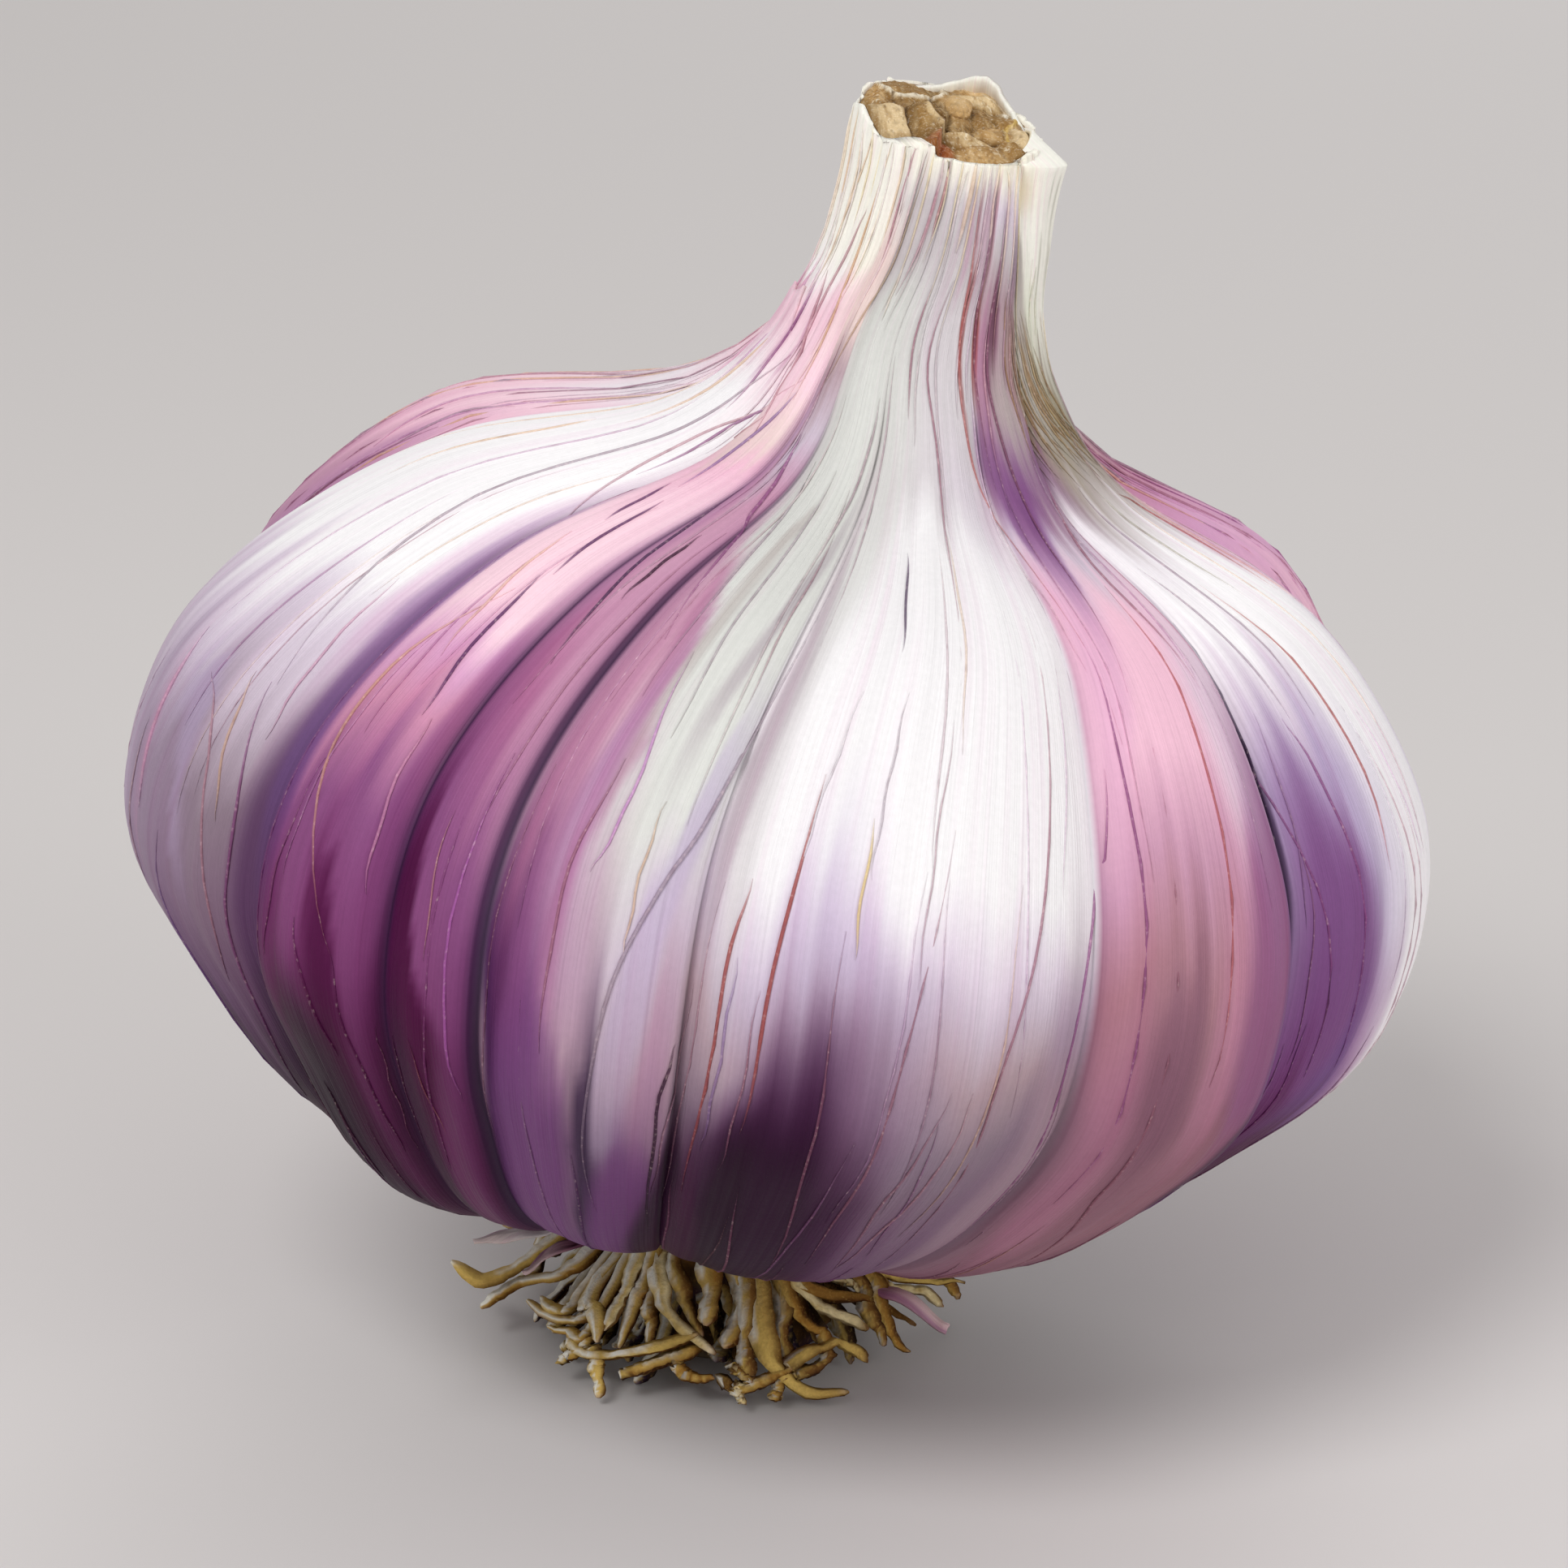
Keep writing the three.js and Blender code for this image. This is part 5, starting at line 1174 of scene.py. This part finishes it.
def side_flap():
    """The sheath that stands off the right of the neck, its top folded in to the rim."""
    columns, rows = 76, 46
    degrees, up = np.meshgrid(np.linspace(32, 150, columns), np.linspace(0, 1, rows))
    turn = degrees / 360
    outward = window(degrees, 70, 112, 32)
    rise, fold = np.minimum(up / 0.78, 1), smooth(up, 0.78, 1)
    along = mix(0.69, 0.955, rise)
    wall = skin_point(degrees, along, -0.2 + outward * (0.15 * smooth(rise, 0, 0.3) + 1.55 * rise ** 1.3))
    rim = 52.1 - rim_drop(degrees, RIM_RADIUS)
    inner = lean(around(degrees, 3.8, mix(rim, 52.75, outward), MOUTH_AXIS))
    points = mix(wall, inner, fold[..., None])
    lines = soft_noise(turn, up, 330, 3, 65)
    standing_off = smooth(outward, 0.1, 0.6)
    paint = blend(paint_skin(degrees, along), "cream", 0.95 * smooth(rise, 0.1, 0.5) * standing_off)
    paint = blend(paint, "buff", 0.45 * hump(degrees, 54, 7) * window(rise, 0.74, 0.95, 0.1))
    paint = blend(paint, "greenish", 0.5 * hump(degrees, 98, 8) * smooth(rise, 0, 0.3))
    paint = blend(paint, "olive", 0.55 * smooth(lines, 0.4, 0.85) * (1 - fold) * smooth(outward, 0.05, 0.4))
    paint = blend(paint, "cream", smooth(fold, 0, 0.3))
    inner_paint = blend(paint, "straw", np.full(up.shape, 0.3))
    return sheet("side_flap", points, 0.2, degrees, along, paint, inner_paint)


def back_sheath():
    """The grey-white sheath that rises behind the cut, its edge turned a little in."""
    columns, rows = 70, 16
    degrees, up = np.meshgrid(np.linspace(96, 236, columns), np.linspace(0, 1, rows))
    turn = degrees / 360 + 0.5
    rise = 1.2 * hump(degrees, 155, 26) * (1 - smooth(degrees, 196, 216))
    ragged = 0.05 * soft_noise(turn, up * 0, 70, 1, 62)
    crest = 52.4 - rim_drop(degrees, RIM_RADIUS) + (1.0 + ragged) * rise
    height = mix(51.3, crest, up)
    radius = 3.96 - 0.2 * smooth(up, 0.6, 1) + 0.05 * soft_noise(turn, up, 60, 3, 63)
    points = lean(around(degrees, radius, height, MOUTH_AXIS))
    paint = np.broadcast_to(PAINT["ivory"], up.shape + (3,))
    paint = blend(paint, "stone", 0.5 * smooth(soft_noise(turn, up, 50, 2, 64), -0.1, 0.6))
    inner = blend(blend(paint, "cream", smooth(up, 0.75, 1)), "biscuit", 0.75 * (1 - smooth(up, 0.5, 0.95)))
    return sheet("back_sheath_skin", points, 0.22, degrees, 0.9 + 0.1 * up, paint, inner)


# The torn tongues strewn all round the root end: how many, and their paints.
STREWN_TATTERS = 26
TATTER_PAINTS = ("lilac", "petal", "rose", "claret", "magenta", "pearl", "wine", "tan")


def tatter(at, width, low, length, lift, droop, name, seed):
    """One torn tongue of skin at the root end."""
    degrees, up = np.meshgrid(np.linspace(-1, 1, 9), np.linspace(0, 1, 8))
    narrow = 1 - 0.75 * up ** 1.5
    turn = degrees * width * narrow + at + 1.5 * soft_noise(up, up, 5, 3, seed)
    along = low - length * up * (1 - 0.25 * degrees ** 2)
    points = skin_point(turn, np.maximum(along, 0.001), 0.12 + lift * up ** 1.4)
    points[..., 2] -= droop * up ** 2 + 0.2 * soft_noise(degrees * 0.5, up, 5, 3, seed + 1)
    paint = blend(paint_skin(turn, along + 0.04), name, 0.25 + 0.7 * up)
    return sheet(f"tatter_{seed}", points[::-1], 0.12, turn[::-1], along[::-1], paint[::-1], paint[::-1])


# Tatters seen from the front: at, half width in degrees, where it starts along the bulb, length along
# it, how far it lifts and droops in millimetres, paint.
PLACED_TATTERS = (
    (-66, 2.6, 0.12, 0.06, 0.2, 0.5, "claret"), (-58, 2.2, 0.115, 0.06, 0.25, 0.4, "lilac"),
    (-51, 3.0, 0.115, 0.06, 0.2, 0.5, "claret"), (-45, 2.6, 0.11, 0.06, 0.25, 0.4, "rose"),
    (-39, 3.0, 0.105, 0.06, 0.2, 0.5, "wine"), (-33, 2.4, 0.1, 0.06, 0.25, 0.4, "petal"),
    (-26, 3.0, 0.09, 0.05, 0.4, 0.6, "plum"), (-17, 2.4, 0.08, 0.05, 0.5, 0.5, "lavender"),
    (-9, 3.0, 0.075, 0.05, 0.5, 0.6, "orchid"), (-1, 3.4, 0.07, 0.05, 0.4, 0.5, "lavender"),
)


def skin_tatters():
    """The torn tongues of skin all round the root end, in one piece."""
    made = [tatter(*place, 170 + 2 * k) for k, place in enumerate(PLACED_TATTERS)]
    for k in range(STREWN_TATTERS):
        at = -100 + 360 * (k + rng.uniform(-0.35, 0.35)) / STREWN_TATTERS
        width, low, length = rng.uniform(3, 7), rng.uniform(0.05, 0.1), rng.uniform(0.03, 0.07)
        lift, droop = rng.uniform(0.2, 0.9), rng.uniform(0, 0.8)
        made.append(tatter(at, width, low, length, lift, droop, str(rng.choice(TATTER_PAINTS)), 70 + 2 * k))
    return join_pieces("torn_skin_tatters", made)


# Where each flake of dry skin comes out of the plate: how far out and how high.
SCRAP_ROOT = (5.4, 5.9)
# Flakes: at, how far out, height, length, width, droop, paint.
SCRAPS = (
    (-79, 9.3, 5.1, 3.3, 1.5, 0.1, "pearl"),
    (-56, 9.2, 5.6, 2.0, 0.9, 0.6, "claret"),
    (65, 10.6, 3.0, 2.8, 1.7, 1.2, "clay"),
)


def skin_scrap(number, at, reach, height, length, width, droop, name):
    """A torn flake of dry skin at the root end: curled along its length, ragged at its tip."""
    across, up = np.meshgrid(np.linspace(-1, 1, 11), np.linspace(0, 1, 24))
    tip = smooth(up, 0.55, 1)
    ragged = 1 + 0.2 * soft_noise(up, up, 6, 4, 90 + number)
    narrow = (0.3 + 0.7 * smooth(up, 0.1, 0.6)) * (1 - 0.75 * tip) * ragged
    local_x = across * width / 2 * narrow
    out = mix(SCRAP_ROOT[0], reach + 0.65 * length, up)
    degrees = at + np.degrees(local_x / reach)
    level = mix(SCRAP_ROOT[1], height, smooth(up, 0, 0.55)) - droop * tip ** 2
    crumple = 0.15 * soft_noise(up, across * 0.5 + 0.5, 5, 4, 95 + number)
    level += 0.3 * np.cos(across * 1.4) * narrow - crumple
    # the rows run from the tip inwards, so that the sheet's outside is its upper face
    points, degrees = root_point(degrees, out, level)[::-1], degrees[::-1]
    paint = np.broadcast_to(PAINT[name], up.shape + (3,))
    paint = blend(paint, "petal", 0.8 * smooth(up, 0.4, 0.9))
    paint = blend(paint, "plum", 0.5 * hump(across, -0.8, 0.3))[::-1]
    return sheet(f"skin_scrap_{number}_torn", points, 0.14, degrees, 0.1 + 0.05 * up, paint, paint)


# ---- the cut mouth ----
def mouth_point(x, y, height):
    """A place in the mouth, in the part's axes."""
    return lean(np.stack(np.broadcast_arrays(MOUTH_AXIS + x, y, height), -1))


def oval(x, y, lump):
    """How far a place is from a lump's middle, with 1 at its edge."""
    _, cx, cy, half_width, half_length, turn, _ = lump
    angle = math.radians(turn)
    dx, dy = x - cx, y - cy
    u = dx * math.cos(angle) + dy * math.sin(angle)
    v = dy * math.cos(angle) - dx * math.sin(angle)
    return np.hypot(u / half_width, v / half_length)


def distance_to_path(x, y, path):
    """The distance from each place to a smooth path through a few points."""
    line = spline(path, np.linspace(0, 1, 40))
    return np.sqrt((x[..., None] - line[:, 0]) ** 2 + (y[..., None] - line[:, 1]) ** 2).min(-1)


def mouth_surface(x, y):
    """The cut's height above its plane, and its colour, with painted shade and highlights on its lumps."""
    wobble_x = x + 0.2 * plane_noise(x, y, 1.3, 31) + 0.07 * plane_noise(x, y, 0.35, 32)
    wobble_y = y + 0.2 * plane_noise(x, y, 1.3, 33) + 0.07 * plane_noise(x, y, 0.35, 34)
    height = np.zeros(x.shape)
    paint = np.broadcast_to(PAINT["hazel"], x.shape + (3,))
    for lump in MOUTH_LUMPS:
        near = oval(wobble_x, wobble_y, lump)
        inside = 1 - smooth(near, 0.62, 1.08)
        side = np.clip((wobble_x - lump[1]) / lump[3], -1, 1)
        height = mix(height, lump[-1] * (1 + 0.35 * side), 1 - smooth(near, 0.35, 1.12))
        paint = blend(paint, lump[0], 0.92 * inside)
        # painted shade on each lump's left side and a painted highlight on its right
        paint = blend(paint, "walnut", 0.55 * inside * smooth(-side, 0.1, 1))
        paint = blend(paint, "buff", 0.3 * inside * smooth(side, 0.2, 0.9))
        paint = blend(paint, "umber", 0.22 * hump(near, 1.0, 0.12))
    for name, rise, half, path in MOUTH_EDGES:
        near = distance_to_path(wobble_x, wobble_y, path) / half
        height += rise * np.exp(-near ** 2)
        paint = blend(paint, name, 0.72 * (1 - smooth(near, 0.5, 1.5)))
    crumbs = plane_noise(x, y, 0.13, 35)
    streaks = plane_noise(3 * x + y, 0.9 * y - 0.3 * x, 0.5, 37)
    crackled = np.clip(hump(y, -2.3, 0.6) * smooth(x, -1.2, -0.4)
                       + hump(np.hypot(x - 2.4, y - 2.3), 0, 1.2)
                       + hump(x, -3.4, 0.6) * smooth(y, -0.6, 0.4), 0, 1)
    dark_cracks = 1 - smooth(np.abs(plane_noise(x, y, 0.3, 38) + 0.4 * crumbs), 0.02, 0.13)
    pale_cracks = 1 - smooth(np.abs(plane_noise(x, y, 0.42, 39) + 0.3 * crumbs), 0.02, 0.12)
    height += 0.02 * crumbs + 0.03 * streaks
    paint = blend(paint, "walnut", 0.4 * smooth(plane_noise(x, y, 0.8, 36), 0.1, 0.8))
    paint = blend(paint, "umber", 0.3 * smooth(streaks, 0.1, 0.8))
    paint = blend(paint, "buff", 0.35 * smooth(-streaks, 0.1, 0.8))
    paint = blend(paint, "cream", 0.6 * pale_cracks * mix(0.2, 1, crackled))
    paint = blend(paint, "umber", 0.55 * dark_cracks * mix(0.1, 1, crackled))
    paint = blend(paint, "bark", 0.3 * smooth(crumbs, 0.5, 0.9))
    return height, paint


def cut_mouth():
    """The crumpled floor of the cut, with a skirt that goes down inside the neck."""
    degrees, radius = np.meshgrid(np.arange(MOUTH_SPOKES) * 360 / MOUTH_SPOKES,
                                  np.linspace(0.004, 1, MOUTH_RINGS))
    on_skin = degrees - wander(degrees, 1.0)
    radius = radius * (MOUTH_RADIUS - 1.1 * neck_pleats(on_skin, 1.0))
    x, y = radius * np.sin(np.radians(degrees)), -radius * np.cos(np.radians(degrees))
    height, paint = mouth_surface(x, y)
    plane = MOUTH_PLANE - rim_drop(on_skin, radius) * smooth(radius, 0, 0.5)
    skirt = mouth_point(0.93 * x[-1:], 0.93 * y[-1:], np.full((1, MOUTH_SPOKES), SKIRT_FOOT))
    rings = np.concatenate([mouth_point(x, y, plane + height), skirt])
    return ringed_piece("cut_mouth", rings, np.concatenate([paint, paint[-1:]]), flip=True)


def stalk_end():
    """The cut flower stalk in the middle: a low crumbly knob."""
    degrees, part = np.meshgrid(np.arange(0, 360, 6.0), np.linspace(0, 1, 18))
    turn = degrees / 360
    lumps = 0.08 * soft_noise(turn, part, 7, 3, 38) + 0.04 * soft_noise(turn, part, 26, 9, 39)
    radius = (0.6 + lumps) * np.sin(np.pi * np.clip(part, 0.03, 0.97)) ** 0.5
    x = STALK_X + radius * np.sin(np.radians(degrees))
    y = STALK_Y - STALK_LENGTH * radius * np.cos(np.radians(degrees))
    points = mouth_point(x, y, MOUTH_PLANE - 0.5 + 1.2 * part ** 0.6 + 0.12 * y + lumps)
    body = np.broadcast_to(PAINT["biscuit"], degrees.shape + (3,))
    tint = blend(body, "walnut", 1 - smooth(part, 0.25, 0.6))
    tint = blend(tint, "buff", 0.4 * smooth(part, 0.7, 1))
    return ringed_piece("stalk_end", points, tint)


# ---- materials ----
def new_group(name, sockets, output_kind="Float"):
    """A shader group with its inputs (name, kind, value) and one output called Value."""
    tree = bpy.data.node_groups.new(name, "ShaderNodeTree")
    for label, kind, value in sockets:
        socket = tree.interface.new_socket(label, in_out="INPUT", socket_type="NodeSocket" + kind)
        if value is not None:
            socket.default_value = value
    tree.interface.new_socket("Value", in_out="OUTPUT", socket_type="NodeSocket" + output_kind)
    return tree, tree.nodes.new("NodeGroupInput").outputs, tree.nodes.new("NodeGroupOutput").inputs["Value"]


def fibre_group():
    """Noise drawn out along the fibres: Across is its cells to a radian, Along its cells to the length."""
    tree, given, out = new_group("fibre_noise", (
        ("Fibre", "Vector", None), ("Across", "Float", 50.0),
        ("Along", "Float", 3.0), ("Detail", "Float", 2.0)))
    parts = add_node(tree, "ShaderNodeSeparateXYZ", {0: given["Fibre"]})
    scaled = [
        add_node(tree, "ShaderNodeMath", {0: parts.outputs[axis], 1: given[scale]}, operation="MULTIPLY")
        for axis, scale in ((0, "Across"), (1, "Across"), (2, "Along"))]
    place = add_node(tree, "ShaderNodeCombineXYZ", {k: node.outputs[0] for k, node in enumerate(scaled)})
    noise = add_node(tree, "ShaderNodeTexNoise", {
        "Vector": place.outputs[0], "Scale": 1.0, "Detail": given["Detail"], "Roughness": 0.55})
    tree.links.new(noise.outputs[0], out)
    return tree


def grain_group():
    """Even grain in the part's own space: Size is one grain's width in millimetres."""
    tree, given, out = new_group("grain", (("Size", "Float", 0.3), ("Detail", "Float", 2.0)))
    place = add_node(tree, "ShaderNodeTexCoord")
    scale = add_node(tree, "ShaderNodeMath", {0: 1 / MM, 1: given["Size"]}, operation="DIVIDE")
    noise = add_node(tree, "ShaderNodeTexNoise", {
        "Vector": place.outputs["Object"], "Scale": scale.outputs[0], "Detail": given["Detail"]})
    tree.links.new(noise.outputs[0], out)
    return tree


def tone_group():
    """Lightens and darkens a colour by a value that is 0.5 at rest: Amount is how much."""
    tree, given, out = new_group("tone", (
        ("Color", "Color", None), ("Level", "Float", 0.5), ("Amount", "Float", 0.1)), "Color")
    centred = add_node(tree, "ShaderNodeMath", {0: given["Level"], 1: 0.5}, operation="SUBTRACT")
    factor = add_node(tree, "ShaderNodeMath", {0: centred.outputs[0], 1: given["Amount"], 2: 1.0},
                      operation="MULTIPLY_ADD")
    scaled = add_node(tree, "ShaderNodeVectorMath", {0: given["Color"], "Scale": factor.outputs[0]},
                      operation="SCALE")
    tree.links.new(scaled.outputs[0], out)
    return tree


def new_material(name):
    """A material, its node tree and its shader."""
    material = bpy.data.materials.new(name)
    material.use_nodes = True
    return material, material.node_tree, material.node_tree.nodes["Principled BSDF"]


def use_group(tree, group, inputs):
    """Places a shader group and gives its output."""
    return add_node(tree, "ShaderNodeGroup", inputs, node_tree=group).outputs["Value"]


def painted(tree):
    """The colour that each point of the mesh carries."""
    return add_node(tree, "ShaderNodeAttribute", attribute_name="paint").outputs["Color"]


def range_of(tree, value, low, high, to_low, to_high):
    """A value brought from one range to another, and kept inside it."""
    node = add_node(tree, "ShaderNodeMapRange", {
        "Value": value, "From Min": low, "From Max": high, "To Min": to_low, "To Max": to_high})
    return node.outputs["Result"]


def tinted(tree, paint, name, amount, blend_type="MIX"):
    """Mixes one named colour into the paint by a value, or glazes it over with MULTIPLY."""
    node = add_node(tree, "ShaderNodeMix", {0: amount}, data_type="RGBA", blend_type=blend_type)
    tree.links.new(paint, node.inputs[6])
    node.inputs[7].default_value = (*linear(PAINT[name]), 1)
    return node.outputs[2]


def bumped(tree, shader, height, distance, strength):
    """Raises the surface by a value, over a distance in millimetres."""
    bump = add_node(tree, "ShaderNodeBump", {
        "Height": height, "Distance": distance * MM, "Strength": strength})
    tree.links.new(bump.outputs[0], shader.inputs["Normal"])


def skin_material(name, groups, roughness, streak, relief):
    """Papery skin: its paint, broken up by long fibres and a fine grain."""
    fibre_noise, grain, tone = groups
    material, tree, shader = new_material(name)
    fibre = add_node(tree, "ShaderNodeAttribute", attribute_name="fibre").outputs["Vector"]
    broad = use_group(tree, fibre_noise, {"Fibre": fibre, "Across": 24.0, "Along": 3.0, "Detail": 3.0})
    strands = use_group(tree, fibre_noise, {"Fibre": fibre, "Across": 95.0, "Along": 4.0, "Detail": 3.0})
    hairs = use_group(tree, fibre_noise, {"Fibre": fibre, "Across": 300.0, "Along": 9.0, "Detail": 1.0})
    paper = use_group(tree, grain, {"Size": 0.28, "Detail": 3.0})
    paint = painted(tree)
    paint = tinted(tree, paint, "orchid", range_of(tree, broad, 0.52, 0.75, 0.0, 0.3 * streak), "MULTIPLY")
    paint = tinted(tree, paint, "smoke", range_of(tree, strands, 0.6, 0.85, 0.0, 0.3 * streak), "MULTIPLY")
    paint = use_group(tree, tone, {"Color": paint, "Level": broad, "Amount": 0.22 * streak})
    paint = use_group(tree, tone, {"Color": paint, "Level": strands, "Amount": 0.16 * streak})
    paint = use_group(tree, tone, {"Color": paint, "Level": hairs, "Amount": 0.14 * streak})
    paint = use_group(tree, tone, {"Color": paint, "Level": paper, "Amount": 0.1})
    tree.links.new(paint, shader.inputs["Base Color"])
    uneven = range_of(tree, strands, 0.3, 0.7, roughness - 0.06, roughness + 0.08)
    tree.links.new(uneven, shader.inputs["Roughness"])
    shader.inputs["Specular IOR Level"].default_value = 0.08
    fibres = add_node(tree, "ShaderNodeMath", {0: strands, 1: hairs}, operation="ADD").outputs[0]
    with_paper = add_node(tree, "ShaderNodeMath", {0: paper, 1: 0.35, 2: fibres}, operation="MULTIPLY_ADD")
    bumped(tree, shader, with_paper.outputs[0], relief, 0.5)
    return material


def rough_material(name, groups, roughness, size, light, dark, relief):
    """Dry matter: its paint with lighter and darker grains."""
    _, grain, tone = groups
    material, tree, shader = new_material(name)
    coarse = use_group(tree, grain, {"Size": size * 4, "Detail": 4.0})
    fine = use_group(tree, grain, {"Size": size, "Detail": 4.0})
    paint = tinted(tree, painted(tree), light, range_of(tree, fine, 0.55, 0.78, 0.0, 0.3))
    paint = tinted(tree, paint, dark, range_of(tree, coarse, 0.56, 0.74, 0.0, 0.3))
    paint = use_group(tree, tone, {"Color": paint, "Level": fine, "Amount": 0.4})
    tree.links.new(paint, shader.inputs["Base Color"])
    uneven = range_of(tree, coarse, 0.3, 0.7, roughness - 0.08, roughness + 0.08)
    tree.links.new(uneven, shader.inputs["Roughness"])
    shader.inputs["Specular IOR Level"].default_value = 0.12
    bumped(tree, shader, fine, relief, 0.6)
    return material


# ---- stage ----
# How high the camera stands, its lens, and the object's share of the frame's width.
ELEVATION, LENS, FRAME_SHARE = math.radians(18.6), 120, 0.822
# Where the camera looks, from the object's middle, in parts of its width.
LOOK_OFFSET = Vector((0.006, 0.0, -0.05))
# How far the floor goes each way, in millimetres.
FLOOR_REACH = 900
# Lamps: name, place from the object's middle, size across, power.
LAMPS = (
    ("key", (-0.16, -0.26, 0.34), 0.2, 1.15),
    ("fill", (0.85, -0.625, 0.3), 0.65, 3.85),
    ("back", (0.25, 1.0, 0.5), 0.62, 3.1),
)


def area_lamp(name, place, size, power, target):
    """A round soft lamp that faces its target."""
    lamp = bpy.data.lights.new(name, "AREA")
    lamp.shape = "DISK"
    lamp.size = size
    lamp.energy = power
    light = bpy.data.objects.new(name, lamp)
    light.location = place
    light.rotation_euler = (Vector(target) - Vector(place)).to_track_quat("-Z", "Y").to_euler()
    bpy.context.scene.collection.objects.link(light)


def stage():
    """The camera, the floor, the studio's even light and its lamps."""
    scene = bpy.context.scene
    low, high = (np.array(corner) for corner in CAD_BOUNDS)
    centre = (low + high) / 2
    width = (high - low)[0]

    camera = bpy.data.objects.new("camera", bpy.data.cameras.new("camera"))
    camera.data.lens = LENS
    camera.data.clip_start = 0.01
    distance = LENS / camera.data.sensor_width * width / FRAME_SHARE
    look = Vector(centre) + LOOK_OFFSET * width
    camera.location = look + Vector((0, -math.cos(ELEVATION), math.sin(ELEVATION))) * distance
    camera.rotation_euler = (math.pi / 2 - ELEVATION, 0, 0)
    scene.collection.objects.link(camera)
    scene.camera = camera

    corners = [(x * FLOOR_REACH, y * FLOOR_REACH, 0) for x, y in ((-1, -1), (1, -1), (1, 1), (-1, 1))]
    floor = mesh_piece("floor", corners, [(0, 1, 2, 3)])
    material, _, shader = new_material("pale_floor")
    shader.inputs["Base Color"].default_value = (*linear(colour("#d6d2d0")), 1)
    shader.inputs["Roughness"].default_value = 0.8
    floor.data.materials.append(material)

    world = bpy.data.worlds.new("studio")
    scene.world = world
    world.use_nodes = True
    sky = world.node_tree.nodes["Background"]
    sky.inputs["Color"].default_value = (*linear(colour("#efeded")), 1)
    sky.inputs["Strength"].default_value = 0.5
    for name, place, size, power in LAMPS:
        area_lamp(name, centre + np.array(place), size, power, centre)
    scene.view_settings.view_transform = "Standard"


groups = fibre_group(), grain_group(), tone_group()
fresh_skin = skin_material("garlic_skin", groups, 0.46, 1.0, 0.06)
dry_skin = skin_material("dry_skin", groups, 0.62, 1.4, 0.08)
vein_matter = rough_material("vein", groups, 0.6, 0.2, "petal", "claret", 0.01)
root_matter = rough_material("dried_root", groups, 0.8, 0.16, "straw", "bark", 0.12)
plate_matter = rough_material("root_plate", groups, 0.85, 0.2, "gold", "bark", 0.15)
cut_matter = rough_material("cut_end", groups, 0.8, 0.1, "cream", "bark", 0.08)
tube_nodes = tube_tree()

finish_piece(garlic_skin(), ["wrapped_bulb"], fresh_skin)
finish_piece(skin_veins(tube_nodes, vein_matter), ["wrapped_bulb"], vein_matter)
finish_piece(torn_edge(), ["wrapped_bulb"], dry_skin)
finish_piece(skin_tatters(), ["wrapped_bulb"], dry_skin)
finish_piece(side_flap(), ["side_sheath"], fresh_skin)
finish_piece(back_sheath(), ["back_sheath"], dry_skin)
finish_piece(cut_mouth(), [
    f"inner_sheath_{part}" for part in ("left", "front", "core_left", "core_right")], cut_matter)
finish_piece(stalk_end(), ["cut_stalk"], cut_matter)
finish_piece(root_plate(), ["basal_plate"], plate_matter)
finish_piece(dried_roots(tube_nodes, root_matter),
             [f"root_{k:02d}" for k in range(1, 40)], root_matter)
for number, scrap in enumerate(SCRAPS, 1):
    finish_piece(skin_scrap(number, *scrap), [f"skin_scrap_{number}"], dry_skin)
stage()
